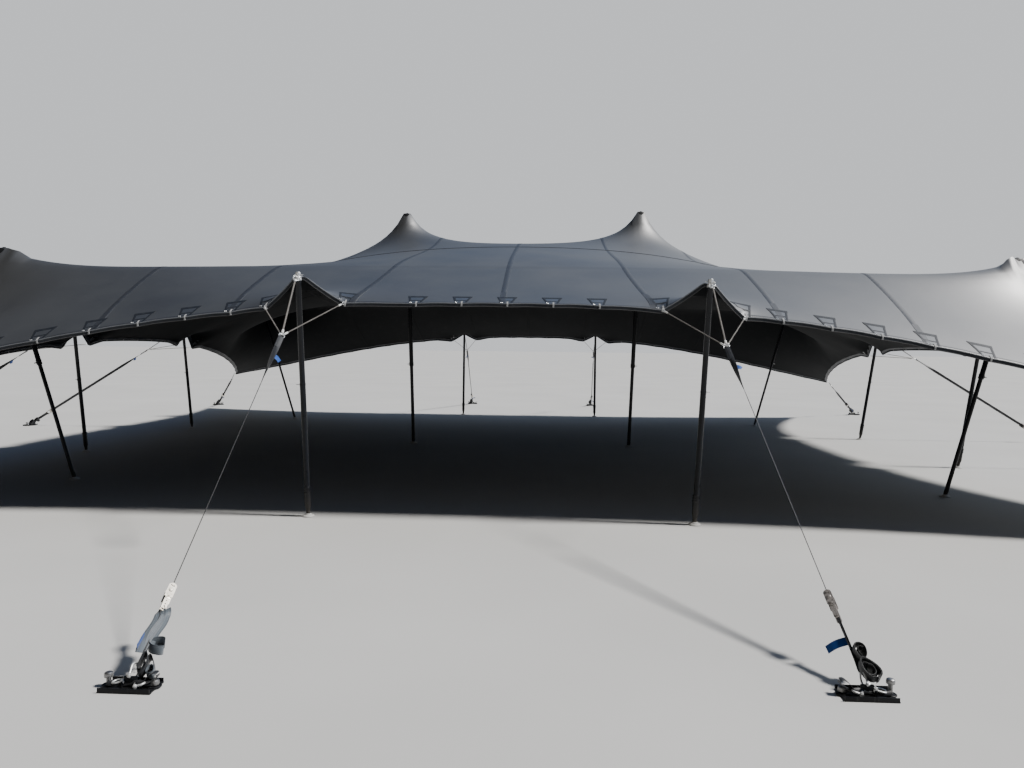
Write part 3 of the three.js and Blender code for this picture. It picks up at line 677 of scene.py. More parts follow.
def lay_band(shape, path, width, lift, ripple=0.0, under=False):
    """A closed band laid along a path of (u, v) on the cloth, or on its underside."""
    path = np.asarray(path, float)
    along = np.gradient(path, axis=0)
    along /= np.linalg.norm(along, axis=1, keepdims=True)
    across = np.stack([-along[:, 1], along[:, 0]], axis=1)
    places = np.array([-0.5, -0.46, 0.0, 0.46, 0.5]) * width
    rise = np.array([0.25, 1.0, 1.0, 1.0, 0.25])
    u = path[:, 0:1] - across[:, 0:1] * places
    v = path[:, 1:2] - across[:, 1:2] * places
    extra = np.broadcast_to(ripple, len(path))
    height = lift * rise[None, :] + extra[:, None] * np.array([0.1, 1, 1, 1, 0.1])[None, :]
    sign = -1 if under else 1
    top = on_cloth(u, v, sign * (CLOTH_THICKNESS / 2 + height))
    bottom = on_cloth(u, v, np.full(u.shape, sign * 0.0006))
    length = np.concatenate([[0], np.cumsum(np.linalg.norm(np.diff(path, axis=0), axis=1))])
    flat = np.stack(np.broadcast_arrays(places[None, :], length[:, None]), axis=-1)
    if under:
        top, bottom, flat = top[:, ::-1], bottom[:, ::-1], flat[:, ::-1]
    shape.sheet(top, bottom, flat)


# A sewn band in its own coordinates: x across, y along, both in metres. Rows of stitches sit
# at a set distance from its middle line.
stitched, entry, leave = new_group("stitched", {"Row": 0.02, "Pitch": 0.006, "Thread": 0.0011},
                                   ["Stitch", "Groove"])
split = add_node(stitched, "ShaderNodeSeparateXYZ", {"Vector": entry.outputs["Vector"]})
away = calc(stitched, "SUBTRACT", calc(stitched, "ABSOLUTE", split.outputs["X"]), entry.outputs["Row"])
away = calc(stitched, "ABSOLUTE", away)
beat = calc(stitched, "FRACT", calc(stitched, "DIVIDE", split.outputs["Y"], entry.outputs["Pitch"]))
on_row = calc(stitched, "LESS_THAN", away, entry.outputs["Thread"])
on_stitch = calc(stitched, "LESS_THAN", beat, 0.62)
stitched.links.new(times(stitched, on_row, on_stitch), leave.inputs["Stitch"])
groove = calc(stitched, "SUBTRACT", 1.0, calc(stitched, "DIVIDE", away, 0.005), clamp=True)
stitched.links.new(groove, leave.inputs["Groove"])


def band_material(name, dark, light, thread, rough, row, ribs, sheen=0.15, gloss=0.35, edge=(9.0, 0.0),
                  index=1.5):
    """Sewn band or webbing: rows of thread in grooves darkened with painted shade, and ribs across.

    Edge is the distance of its edges from the middle and how much darker they are there.
    """
    material, tree = new_material(name)
    flat = add_node(tree, "ShaderNodeUVMap", uv_map="flat").outputs["UV"]
    weathered = add_node(tree, "ShaderNodeGroup", {"Vector": flat, "Scale": 3.0}, node_tree=weather)
    sewn = add_node(tree, "ShaderNodeGroup", {"Vector": flat, "Row": row}, node_tree=stitched)
    split = add_node(tree, "ShaderNodeSeparateXYZ", {"Vector": flat})
    rib = calc(tree, "SINE", times(tree, split.outputs["Y"], ribs * 2 * math.pi))
    rib = calc(tree, "ADD", times(tree, rib, 0.5), 0.5)
    side = calc(tree, "DIVIDE", calc(tree, "ABSOLUTE", split.outputs["X"]), edge[0])
    colour = mix_colour(tree, add_ramp(tree, weathered.outputs["Broad"], [(0.3, 0.0), (0.7, 1.0)]), dark,
                        light)
    colour = mix_colour(tree, times(tree, rib, 0.25), colour, tuple(0.4 * c for c in dark))
    colour = mix_colour(tree, add_ramp(tree, side, [(0.80, 0.0), (1.0, edge[1])]), colour,
                        tuple(0.25 * c for c in dark))
    # Painted shade: the colour darkens in the groove beside each stitch row.
    colour = mix_colour(tree, times(tree, sewn.outputs["Groove"], 0.55), colour, tuple(0.3 * c for c in dark))
    colour = mix_colour(tree, sewn.outputs["Stitch"], colour, thread)
    colour = mix_colour(tree, add_ramp(tree, weathered.outputs["Dust"], [(0.5, 0.0), (0.85, 0.12)]), colour,
                        (0.22, 0.20, 0.17))
    height = calc(tree, "ADD", times(tree, rib, 0.35),
                  calc(tree, "SUBTRACT", times(tree, sewn.outputs["Stitch"], 0.9),
                       times(tree, sewn.outputs["Groove"], 0.7)))
    normal = add_bump(tree, height, 0.6, 0.0009)
    finish_material(tree, {
        "Base Color": colour, "Normal": normal,
        "Roughness": add_ramp(tree, weathered.outputs["Dust"], [(0.3, rough - 0.08), (0.7, rough + 0.08)]),
        "Specular IOR Level": gloss, "IOR": index, "Sheen Weight": sheen, "Sheen Roughness": 0.5})
    return material


seam_band = band_material("seam_band", (0.003, 0.006, 0.013), (0.006, 0.010, 0.018), (0.04, 0.05, 0.07),
                          rough=0.54, row=SEAM_WIDTH * 0.36, ribs=45.0, sheen=0.0, gloss=0.7,
                          edge=(SEAM_WIDTH / 2, 0.5), index=1.75)

shape, underside = Shape(), Shape()
inner_rows = vs[np.abs(vs) < HALF_DEPTH - PUCKER_REACH]
end_rows = np.arange(HALF_DEPTH - 0.012, HALF_DEPTH - PUCKER_REACH, -PUCKER_LENGTH / 4)
seam_v = np.concatenate([-end_rows, inner_rows, end_rows[::-1]])
near_front = np.clip((-seam_v - RIDGE_V) / 1.85, 0, 1)
to_hem = np.minimum(seam_v + HALF_DEPTH, HALF_DEPTH - seam_v)
strength = np.clip(1 - to_hem / PUCKER_REACH, 0, 1) ** 0.7
ripple = PUCKER_HEIGHT * strength * np.sin(2 * math.pi * to_hem / PUCKER_LENGTH) ** 2
for k in range(-3, 4):
    aside = SEAM_BENDS.get(abs(k), 0.0) * np.sign(k)
    line = np.stack([k * PANEL + aside * near_front ** 1.3, seam_v], axis=1)
    lay_band(shape, line, SEAM_WIDTH, SEAM_LIFT, ripple)
    lay_band(underside, line[::3], SEAM_WIDTH, SEAM_LIFT, under=True)
for v in (-CROSS_SEAM_V, CROSS_SEAM_V):
    u = us.copy()
    u[[0, -1]] += (0.02, -0.02)
    line = np.stack([u, np.full_like(u, v)], axis=1)
    lay_band(shape, line, CROSS_SEAM_WIDTH, CROSS_SEAM_LIFT)
    lay_band(underside, line, CROSS_SEAM_WIDTH, SEAM_LIFT, under=True)
canopy_seams = shape.build("canopy_seams", "canopy_cloth", [seam_band])
under_seams = underside.build("under_seams", "canopy_cloth", [cloth_under])


# Hem
# The edge is turned over and sewn down as a flat band, with a glossy roll along its fold. The roll
# is coloured mid grey, far paler than the cloth, as a painted highlight along the fold. A black
# strip hangs from the roll, with a grey draw cord in its lower edge.
HEM_STEP = 0.04
HEM_BAND = 0.048
HEM_ROLL = 0.0062
STRIP_DROP = 0.028
STRIP_THICKNESS = 0.0024
DRAW_CORD = 0.0075


def around_hem():
    """Places (u, v) all round the hem, and the way out of the cloth at each."""
    path, out = [], []
    corners = [(-HALF_WIDTH, -HALF_DEPTH), (HALF_WIDTH, -HALF_DEPTH), (HALF_WIDTH, HALF_DEPTH),
               (-HALF_WIDTH, HALF_DEPTH)]
    ways = [(0, -1), (1, 0), (0, 1), (-1, 0)]
    for n in range(4):
        first, last = np.array(corners[n]), np.array(corners[(n + 1) % 4])
        count = round(float(np.abs(last - first).sum()) / HEM_STEP)
        path.append(first + np.arange(count)[:, None] / count * (last - first))
        outward = np.repeat([ways[n]], count, axis=0).astype(float)
        outward[0] = np.add(ways[n], ways[n - 1])
        out.append(outward)
    return np.concatenate(path), np.concatenate(out)


def unit(vectors):
    """Each vector with its length made 1."""
    return vectors / np.linalg.norm(vectors, axis=-1, keepdims=True)


hem_place, hem_way = around_hem()
hem_point = read_cloth(cloth, *hem_place.T)
hem_up = unit(read_cloth(cloth_up, *hem_place.T))
hem_out = unit(hem_way[:, :1] * read_cloth(along_u, *hem_place.T)
               + hem_way[:, 1:] * read_cloth(along_v, *hem_place.T))
hem_along = unit(np.roll(hem_point, -1, 0) - np.roll(hem_point, 1, 0))
hem_level = unit(hem_out * (1, 1, 0.15))
hem_drop = np.array((0, 0, -1.0)) + 0.12 * hem_level
hem_drop = unit(hem_drop - hem_along * (hem_drop * hem_along).sum(-1, keepdims=True))

# Painted highlight: the roll is the same dark cloth, coloured mid grey to stand for the light it catches.
painted_highlight_roll = band_material("hem_roll_painted_highlight", (0.09, 0.10, 0.12), (0.14, 0.15, 0.17), (0.20, 0.21, 0.23),
                               rough=0.38, row=0.008, ribs=60.0, gloss=0.8)
black_webbing = band_material("black_webbing", (0.004, 0.007, 0.013), (0.007, 0.011, 0.018),
                              (0.02, 0.025, 0.03), rough=0.6, row=0.009, ribs=300.0, sheen=0.0, gloss=0.5)
shape = Shape()
fold_section = [(-HEM_BAND, 0.0018), (-HEM_BAND + 0.002, 0.0030), (-0.004, 0.0034), (0.0, 0.0),
                (-0.004, -0.0034), (-HEM_BAND + 0.002, -0.0030), (-HEM_BAND, -0.0018)]
rings = [[point + out * o + up * n for o, n in fold_section]
         for point, out, up in zip(hem_point, hem_out, hem_up)]
shape.loft(rings, closed=True, spots=[o + HEM_BAND for o, n in fold_section])
roll_line = [point - up * 0.001 for point, up in zip(hem_point, hem_up)]
# The roll along the fold, in its painted-highlight grey.
shape.tube(roll_line, HEM_ROLL, sides=10, skin=1, closed=True)
hem_fold = shape.build("hem_fold", "hem_webbing", [seam_band, painted_highlight_roll], sharp=50)

shape = Shape()
face = unit(np.cross(hem_drop, hem_along)) * (STRIP_THICKNESS / 2)
face *= np.sign((face * hem_out).sum(-1, keepdims=True))
top = hem_point + hem_out * 0.002 + hem_drop * 0.004
rings = [[t - f, t + f, t + f + d, t - f + d] for t, f, d in zip(top, face, hem_drop * STRIP_DROP)]
shape.loft(rings, closed=True, spots=[0.0, 0.0, STRIP_DROP, STRIP_DROP])
hem_strip = shape.build("hem_strip", "hem_webbing", [black_webbing], sharp=50)


def rope_material(name, dark, light, rough=0.7, grain=260.0):
    """Laid or braided cord: fibre streaks, soiled hollows and a dull finish."""
    material, tree = new_material(name)
    place = add_node(tree, "ShaderNodeTexCoord").outputs["Object"]
    fibre = add_noise(tree, place, grain, 4.0, 0.7)
    soil = add_noise(tree, place, 9.0, 4.0)
    colour = mix_colour(tree, add_ramp(tree, fibre, [(0.35, 0.0), (0.65, 1.0)]), dark, light)
    colour = mix_colour(tree, add_ramp(tree, soil, [(0.5, 0.0), (0.8, 0.35)]), colour,
                        tuple(0.45 * c for c in dark))
    normal = add_bump(tree, fibre, 0.5, 0.0006)
    finish_material(tree, {
        "Base Color": colour, "Normal": normal,
        "Roughness": add_ramp(tree, fibre, [(0.3, rough - 0.1), (0.7, rough + 0.1)]),
        "Specular IOR Level": 0.3, "Sheen Weight": 0.2})
    return material


draw_cord_grey = rope_material("draw_cord_grey", (0.030, 0.030, 0.032), (0.065, 0.065, 0.068))
shape = Shape()
cord_line = top + hem_drop * (STRIP_DROP + DRAW_CORD * 0.3)
shape.tube(cord_line, DRAW_CORD / 2, sides=8, closed=True)
hem_cord = shape.build("hem_cord", "hem_webbing", [draw_cord_grey], sharp=60)


# Tie patches
# At every tie the hem is doubled by a fan of the same cloth framed in dark webbing, which spreads the
# pull. A short pale strap runs over the hem there and leaves a loop below it for a tie.
PATCH_DEPTH = 0.27
PATCH_NEAR, PATCH_FAR = 0.11, 0.20
PATCH_BASE = 0.0015
PATCH_LIFT = 0.0034
FRAME_LIFT = 0.0062
LOOP_DROP = 0.012
FRAME_SIDE, FRAME_OVERLAP = 0.020, 0.003
PATCH_START = 0.004
CROSS_BAND = (0.085, 0.110)
OUTER_BAND = (PATCH_DEPTH - 0.050, PATCH_DEPTH + 0.004)


def hem_places(edge, centre, across, inward):
    """(u, v) of places near one edge, from the distance along it and in from it."""
    return {"front": (centre + across, -HALF_DEPTH + inward),
            "rear": (centre - across, HALF_DEPTH - inward), "right": (HALF_WIDTH - inward, centre + across),
            "left": (-HALF_WIDTH + inward, centre - across)}[edge]


def lay_patch(shape, edge, centre, depths, left, right, lift, skin=1, rows=3, columns=5):
    """A closed piece on the cloth between two depths.

    Left and right give each side as a side of the fan, -1 or 1, and a distance to the right of it.
    """
    t = np.linspace(*depths, rows)[:, None]
    half_fan = (PATCH_NEAR + (PATCH_FAR - PATCH_NEAR) * t / PATCH_DEPTH) / 2
    first, last = (sign * half_fan + shift for sign, shift in (left, right))
    across = first + (last - first) * np.linspace(0, 1, columns)[None, :]
    inward = np.broadcast_to(t, across.shape)
    u, v = hem_places(edge, centre, across, inward)
    flat = np.stack([across, inward], axis=-1)
    rim = np.zeros(across.shape)
    rim[1:-1, 1:-1] = 1
    shape.sheet(on_cloth(u, v, lift * (0.75 + 0.25 * rim)), on_cloth(u, v, PATCH_BASE), flat, (skin, skin))


patch_gloss = cloth_material("patch_gloss", (0.006, 0.009, 0.015), (0.009, 0.014, 0.021), rough=0.44,
                             gloss=1.0, wrinkle=0.004, index=2.0, sheen=0.05)
pale_webbing = band_material("pale_webbing", (0.30, 0.31, 0.32), (0.42, 0.43, 0.44), (0.55, 0.55, 0.55),
                             rough=0.6, row=0.008, ribs=300.0)
edges = (("front", FRONT_TIES, FRONT_TIP, HALF_WIDTH), ("rear", REAR_TIES, REAR_TIP, HALF_WIDTH),
         ("left", SIDE_TIES, SIDE_TIP, HALF_DEPTH), ("right", SIDE_TIES, SIDE_TIP, HALF_DEPTH))
patches = [(edge, place) for edge, ties, tip, end in edges for place in ties if abs(place) not in (tip, end)]
shape = Shape()
loops = Shape()
eyelet_spots = []
for edge, centre in patches:
    whole = (PATCH_START, PATCH_DEPTH)
    lay_patch(shape, edge, centre, whole, (-1, 0), (1, 0), PATCH_LIFT, skin=0, rows=6)
    lay_patch(shape, edge, centre, OUTER_BAND, (-1, -0.006), (1, 0.006), FRAME_LIFT)
    lay_patch(shape, edge, centre, CROSS_BAND, (-1, 0), (1, 0), FRAME_LIFT * 0.9)
    for left, right in (((-1, -FRAME_OVERLAP), (-1, FRAME_SIDE)), ((1, -FRAME_SIDE), (1, FRAME_OVERLAP))):
        lay_patch(shape, edge, centre, whole, left, right, FRAME_LIFT * 0.95, rows=6, columns=3)
    reach = np.array([0.045, 0.035, 0.025, 0.014, 0.002])
    u, v = hem_places(edge, centre, np.full(5, 0.012), reach)
    path = list(on_cloth(u, v, FRAME_LIFT + 0.003))
    k = int(np.argmin(np.abs(hem_place - np.array([u[-1], v[-1]])).sum(axis=1)))
    end, out, drop = path[-1], hem_out[k], hem_drop[k]
    loop_end = STRIP_DROP + LOOP_DROP
    path += [end + out * a + drop * b for a, b in ((0.009, 0.006), (0.010, 0.03), (0.006, loop_end),
                                                   (-0.004, loop_end), (-0.009, 0.03), (-0.011, 0.008))]
    loops.ribbon(path, Vector(hem_along[k]), 0.017, 0.0022)
    u, v = hem_places(edge, centre, np.array([-PATCH_NEAR / 2 + 0.006]), np.array([0.020]))
    eyelet_spots.append((on_cloth(u, v, FRAME_LIFT + 0.0006)[0], unit(read_cloth(cloth_up, u, v))[0]))
tie_patches = shape.build("tie_patches", "hem_webbing", [patch_gloss, black_webbing], sharp=50)
tie_loops = loops.build("tie_loops", "hem_webbing", [pale_webbing], sharp=50)


# Eyelets
# A rolled ring of bright metal is pressed through the hem at one corner of each tie patch. All are
# alike, so a node tree sets one ring on every place, square to the cloth there.
EYELET_RADIUS = 0.011
EYELET_BAR = 0.0032


def new_growth(name, inputs):
    """An empty tree of geometry nodes with a geometry in and out and named inputs."""
    tree = bpy.data.node_groups.new(name, "GeometryNodeTree")
    tree.interface.new_socket("Geometry", in_out="INPUT", socket_type="NodeSocketGeometry")
    tree.interface.new_socket("Geometry", in_out="OUTPUT", socket_type="NodeSocketGeometry")
    for label, value in inputs.items():
        kind = "NodeSocketMaterial" if isinstance(value, bpy.types.Material) else "NodeSocketFloat"
        tree.interface.new_socket(label, in_out="INPUT", socket_type=kind)
    return tree, tree.nodes.new("NodeGroupInput"), tree.nodes.new("NodeGroupOutput")


def finish_growth(tree, geometry, entry, leave):
    """The end of each tree: real geometry with its material."""
    real = add_node(tree, "GeometryNodeRealizeInstances", {"Geometry": geometry})
    smooth = add_node(tree, "GeometryNodeSetShadeSmooth", {"Geometry": real.outputs["Geometry"]})
    dressed = add_node(tree, "GeometryNodeSetMaterial", {"Geometry": smooth.outputs[0],
                                                         "Material": entry.outputs["Material"]})
    tree.links.new(dressed.outputs["Geometry"], leave.inputs["Geometry"])


def grow(name, tree, values, points, lines=(), normals=None):
    """The plain piece that a tree makes of a set of points or lines."""
    base = bpy.data.meshes.new(name + "_places")
    base.from_pydata([tuple(p) for p in points], [tuple(edge) for edge in lines], [])
    if normals is not None:
        base.attributes.new("facing", "FLOAT_VECTOR", "POINT").data.foreach_set(
            "vector", np.array(normals, np.float32).ravel())
    worker = bpy.data.objects.new(name + "_places", base)
    bpy.context.scene.collection.objects.link(worker)
    modifier = worker.modifiers.new("growth", "NODES")
    modifier.node_group = tree
    for socket in tree.interface.items_tree:
        if socket.item_type == "SOCKET" and socket.in_out == "INPUT" and socket.name in values:
            modifier[socket.identifier] = values[socket.name]
    bpy.context.view_layer.update()
    mesh = bpy.data.meshes.new_from_object(worker.evaluated_get(bpy.context.evaluated_depsgraph_get()))
    worker.modifiers.remove(modifier)
    bpy.data.objects.remove(worker)
    mesh.name = name
    mesh.set_sharp_from_angle(angle=math.radians(45))
    piece = bpy.data.objects.new(name, mesh)
    bpy.context.scene.collection.objects.link(piece)
    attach(piece, "root")
    return piece


# Wear on metal and paint: a mask of fine scratches and one of dirt that gathers near the ground.
worn, entry, leave = new_group("worn", {"Height": 0.5}, ["Scratch", "Grime", "Mottle"])
place = entry.outputs["Vector"]
stretched = add_node(worn, "ShaderNodeVectorMath", {0: place, 1: (90.0, 90.0, 7.0)}, operation="MULTIPLY")
scratches = add_noise(worn, stretched.outputs["Vector"], 1.0, 6.0, 0.65)
mottle = add_noise(worn, place, 26.0, 6.0, 0.6)
split = add_node(worn, "ShaderNodeSeparateXYZ", {"Vector": place})
low = calc(worn, "SUBTRACT", 1.0, calc(worn, "DIVIDE", split.outputs["Z"], entry.outputs["Height"]),
           clamp=True)
worn.links.new(add_ramp(worn, scratches, [(0.60, 0.0), (0.72, 1.0)]), leave.inputs["Scratch"])
worn.links.new(times(worn, low, mottle), leave.inputs["Grime"])
worn.links.new(mottle, leave.inputs["Mottle"])


def metal_material(name, dark, light, rough, grime, metal=1.0, scratch=0.25, scratch_tone=None,
                   height=0.5, coat=0.0, gloss=0.5):
    """Metal, or paint on metal: mottled tone, fine scratches and soil up to a height off the ground."""
    material, tree = new_material(name)
    place = add_node(tree, "ShaderNodeTexCoord").outputs["Object"]
    marks = add_node(tree, "ShaderNodeGroup", {"Vector": place, "Height": height}, node_tree=worn)
    colour = mix_colour(tree, add_ramp(tree, marks.outputs["Mottle"], [(0.35, 0.0), (0.65, 1.0)]), dark,
                        light)
    colour = mix_colour(tree, times(tree, marks.outputs["Scratch"], scratch), colour,
                        scratch_tone or tuple(min(1.0, 1.6 * c + 0.05) for c in light))
    colour = mix_colour(tree, times(tree, marks.outputs["Grime"], grime), colour, (0.10, 0.085, 0.065))
    tone = calc(tree, "ADD", times(tree, marks.outputs["Mottle"], 0.25), rough - 0.12)
    tone = calc(tree, "ADD", tone, times(tree, marks.outputs["Grime"], 0.35), clamp=True)
    normal = add_bump(tree, marks.outputs["Mottle"], 0.4, 0.0003)
    finish_material(tree, {
        "Base Color": colour, "Roughness": tone, "Metallic": metal, "Normal": normal,
        "Specular IOR Level": gloss, "Coat Weight": coat, "Coat Roughness": 0.15})
    return material


bright_steel = metal_material("bright_steel", (0.66, 0.68, 0.69), (0.86, 0.87, 0.87), 0.34, metal=0.7,
                              grime=0.25, height=0.25)
eyelet_values = {"Material": bright_steel, "Radius": EYELET_RADIUS, "Bar": EYELET_BAR}
tree, entry, leave = new_growth("set_rings", eyelet_values)
circle = add_node(tree, "GeometryNodeCurvePrimitiveCircle",
                  {"Resolution": 16, "Radius": entry.outputs["Radius"]})
section = add_node(tree, "GeometryNodeCurvePrimitiveCircle",
                   {"Resolution": 6, "Radius": entry.outputs["Bar"]})
ring = add_node(tree, "GeometryNodeCurveToMesh", {"Curve": circle.outputs["Curve"],
                                                  "Profile Curve": section.outputs["Curve"]})
flatten = add_node(tree, "GeometryNodeTransform",
                   {"Geometry": ring.outputs["Mesh"], "Scale": (1.0, 1.0, 0.6)})
facing = add_node(tree, "GeometryNodeInputNamedAttribute", {"Name": "facing"}, data_type="FLOAT_VECTOR")
aligned = add_node(tree, "FunctionNodeAlignRotationToVector", {"Vector": facing.outputs["Attribute"]},
                   axis="Z")
placed = add_node(tree, "GeometryNodeInstanceOnPoints", {
    "Points": entry.outputs["Geometry"], "Instance": flatten.outputs["Geometry"],
    "Rotation": aligned.outputs["Rotation"]})
finish_growth(tree, placed.outputs["Instances"], entry, leave)
eyelets = grow("eyelets", tree, eyelet_values, [spot for spot, _ in eyelet_spots],
               normals=[normal for _, normal in eyelet_spots])


# Peak patches
# A small black disc of doubled cloth is sewn over each peak where the pole's cap pushes, and a black
# stud marks its middle.
PEAK_PATCH_RADIUS = 0.085
PEAK_PATCH_LIFT = 0.0022


def lay_disc(shape, u, v, radius, lift):
    """A round closed piece on the cloth."""
    turns = np.array(turns_of(32))
    shares = [0.02] + [k / 8 for k in range(1, 9)]
    rings = [on_cloth(u + share * radius * np.cos(turns), v + share * radius * np.sin(turns))
             for share in shares]
    rings += [on_cloth(u + share * radius * np.cos(turns), v + share * radius * np.sin(turns),
                       CLOTH_THICKNESS / 2 + lift * (0.4 if share == 1 else 1.0)) for share in shares[::-1]]
    shape.loft([ring[::-1] for ring in rings][::-1])


patch_cloth = cloth_material("peak_patch_cloth", (0.004, 0.005, 0.007), (0.006, 0.008, 0.011), rough=0.60,
                             gloss=0.4, wrinkle=0.002)
shape = Shape()
studs = Shape()
for peak in peaks.values():
    lay_disc(shape, *peak["cloth"], PEAK_PATCH_RADIUS, PEAK_PATCH_LIFT)
    tip = Vector(on_cloth(*peak["cloth"]))
    studs.lathe(tip - UP * 0.004, tip + UP * 0.02, [
        (0, 0.020), (0.004, 0.021), (0.009, 0.021), (0.0125, 0.018), (0.014, 0.010), (0.0145, 0.0)],
        sides=24)
peak_patches = shape.build("peak_patches", "canopy_cloth", [patch_cloth], sharp=60)
black_plastic = metal_material("black_plastic", (0.010, 0.010, 0.012), (0.018, 0.018, 0.020), 0.45,
                               metal=0.0, scratch=0.2, scratch_tone=(0.08, 0.08, 0.08), grime=0.0,
                               gloss=0.3)
pale_plastic = metal_material("pale_plastic", (0.60, 0.60, 0.58), (0.70, 0.70, 0.68), 0.5, metal=0.0,
                              scratch=0.1, grime=0.6, height=0.05)
peak_studs = studs.build("peak_studs", "rubber_black", [black_plastic])


# Peak poles
# Six telescopic poles of black painted alloy stand under the cloth and push the peaks up. The thinner
# tube below slides in the one above and is held by a clamp collar with a hand screw.
CAP_RADIUS, CAP_HEIGHT = 0.052, 0.022
PAD_RADIUS, PAD_HEIGHT = 0.065, 0.018
CLOTH_GAP = 0.00105
HOLES, HOLE_STEP = 9, 0.1
black_paint = metal_material("black_paint", (0.005, 0.006, 0.008), (0.009, 0.010, 0.013), 0.30, metal=0.0,
                             scratch=0.2, scratch_tone=(0.06, 0.06, 0.07), grime=0.5, height=0.3, coat=0.05,
                             gloss=0.25)
black_rubber = metal_material("black_rubber", (0.012, 0.012, 0.012), (0.022, 0.022, 0.022), 0.75, metal=0.0,
                              scratch=0.3, scratch_tone=(0.07, 0.07, 0.07), grime=0.8, height=0.12)
pads, caps, pins, feet = Shape(), Shape(), Shape(), Shape()


def stand_pad(x, y):
    """The pale ground pad of one pole, with a raised socket and a worn rim."""
    r, h = PAD_RADIUS, PAD_HEIGHT
    pads.lathe((x, y, 0), (x, y, 1), [
        (0, r - 0.004), (0.002, r), (0.005, r), (0.008, r - 0.003), (h - 0.005, r - 0.007),
        (h - 0.002, r - 0.009), (h, r - 0.014), (h, 0.036), (h + 0.001, 0.034), (h + 0.011, 0.032),
        (h + 0.013, 0.029), (h + 0.013, 0.0)], sides=40)


def hand_screw(at, way, size=0.0085):
    """A hexagon bolt that stands out of a tube, with its washer."""
    at, way = Vector(at), Vector(way).normalized()
    pins.lathe(at, at + way, [
        (0, size * 0.6), (0.010, size * 0.6), (0.010, size * 1.5), (0.0125, size * 1.5),
        (0.0125, size * 0.55), (0.026, size * 0.55), (0.026, size), (0.033, size),
        (0.0345, size * 0.7), (0.0345, 0)], sides=6)


def cad_node(name, kind):
    """The CAD node of one kind at a named place, such as front_wing_pole_left."""
    place, side_name = name.rsplit("_", 1)
    return f"{place}_{kind}_{side_name}"


for name, peak in peaks.items():
    r = peak["radius"]
    foot = Vector((*peak["foot"], PAD_HEIGHT / 2))
    cap_top = Vector(peak["top"]) - UP * CLOTH_GAP
    head = cap_top - UP * (CAP_HEIGHT / 2)
    length = (head - foot).length
    axis = (head - foot) / length
    sleeve, mark = length * peak["share"], length * 0.72
    shape = Shape()
    shape.lathe(foot, head, [
        (0.02, 0), (0.02, r * 0.70), (0.11, r * 0.82), (sleeve - 0.004, r * 0.82),
        (sleeve - 0.003, r * 1.02), (sleeve, r * 1.12), (sleeve + 0.024, r * 1.12),
        (sleeve + 0.026, r * 1.04), (sleeve + 0.034, r * 1.04), (sleeve + 0.036, r * 1.12),
        (sleeve + 0.058, r * 1.12), (sleeve + 0.061, r * 1.02), (sleeve + 0.062, r), (mark, r),
        (mark + 0.001, r * 1.035), (mark + 0.018, r * 1.035), (mark + 0.019, r), (length - 0.05, r),
        (length - 0.048, r * 1.10), (length - 0.016, r * 1.16), (length - 0.012, r * 1.16),
        (length - 0.012, 0)], sides=36)
    tube = shape.build(f"{name}_tube", "pole_black", [black_paint], sharp=30)
    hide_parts(cad_node(name, "pole"))
    feet.lathe(foot, head, [(0, 0), (0, r * 0.55), (0.004, r * 0.70), (0.012, r * 0.76), (0.075, r * 0.86),
                            (0.080, r * 0.84), (0.080, 0)], sides=30)
    caps.lathe(cap_top - UP * CAP_HEIGHT, cap_top, [
        (0, 0), (0, CAP_RADIUS - 0.006), (0.003, CAP_RADIUS - 0.001), (0.009, CAP_RADIUS),
        (0.015, CAP_RADIUS - 0.002), (0.019, CAP_RADIUS - 0.007), (0.0212, CAP_RADIUS - 0.016),
        (0.0218, 0)], sides=36)
    stand_pad(*peak["foot"])
    upward = axes_about(axis)[1]
    hand_screw(foot + axis * (sleeve + 0.030) - upward * r, -upward)
    for k in range(HOLES):
        hole = foot + axis * (sleeve - 0.12 - HOLE_STEP * k) - upward * (r * 0.82 - 0.0008)
        pins.lathe(hole, hole - upward, [(0, 0.0042), (0.0012, 0.0042), (0.0016, 0.0034), (0.0016, 0)],
                   sides=10)


# Hem poles
# Eight thinner poles carry the hem's small peaks: a rubber toe, a tapered black foot with three grip
# rings, a black tube, and a bright collar and spigot that hold the pulled ring between them.
# Each tie-down's places are kept here: hem tip, hem eyes, pole foot and ground plate.
HEM_POLE_RADIUS = 0.030
SHOULDER_RADIUS = 0.038
RING_RADIUS, RING_BAR = 0.035, 0.012
SPIGOT_RADIUS = 0.0275
PLATE_REACH, RIGHT_PLATE_REACH = 10.4, 10.22
GUY_LEAN = math.radians(30)
RING_OUT, EYE_OUT = 0.0413, 0.012
LUG_EYE, LUG_BACK = 0.046, 0.0183
GRIP_START, GRIP_STEP = 0.232, 0.0262
JOINT_SHARE = 0.55
tie_downs = []


def add_tie_down(name, side, tip, eyes, outward, foot, plate, turn, gather, drawn=0.0):
    """The places of one tie-down, worked out from its hem tip, its pole's foot and its plate.

    Gather is how far from the head ring its ropes meet, drawn how far the ropes draw that place
    towards the middle of the tent. The guy runs from there to the plate's lug, and its start is as
    far from the lug as the head ring is. The guy's level and standing ways are square to it.
    """
    outward = Vector(outward).normalized()
    ring = Vector(tip) + outward * RING_OUT
    lug = Vector((*plate, LUG_EYE)) - outward * LUG_BACK
    meeting = ring + (lug - ring).normalized() * gather - Vector((side * drawn, 0, 0))
    pull = (lug - meeting).normalized()
    flat_way = Vector((-pull.y, pull.x, 0)).normalized()
    lean = Matrix.Rotation(side * GUY_LEAN, 3, pull)
    run = (lug - ring).length
    tie_downs.append({"name": name, "side": side, "ring": ring, "outward": outward, "foot": foot,
                      "plate": plate, "turn": turn, "pull": pull, "level": lean @ flat_way,
                      "standing": lean @ pull.cross(flat_way), "run": run, "start": lug - pull * run,
                      "lug": lug, "gather": meeting,
                      "eyes": [Vector(eye) + outward * EYE_OUT for eye in eyes]})


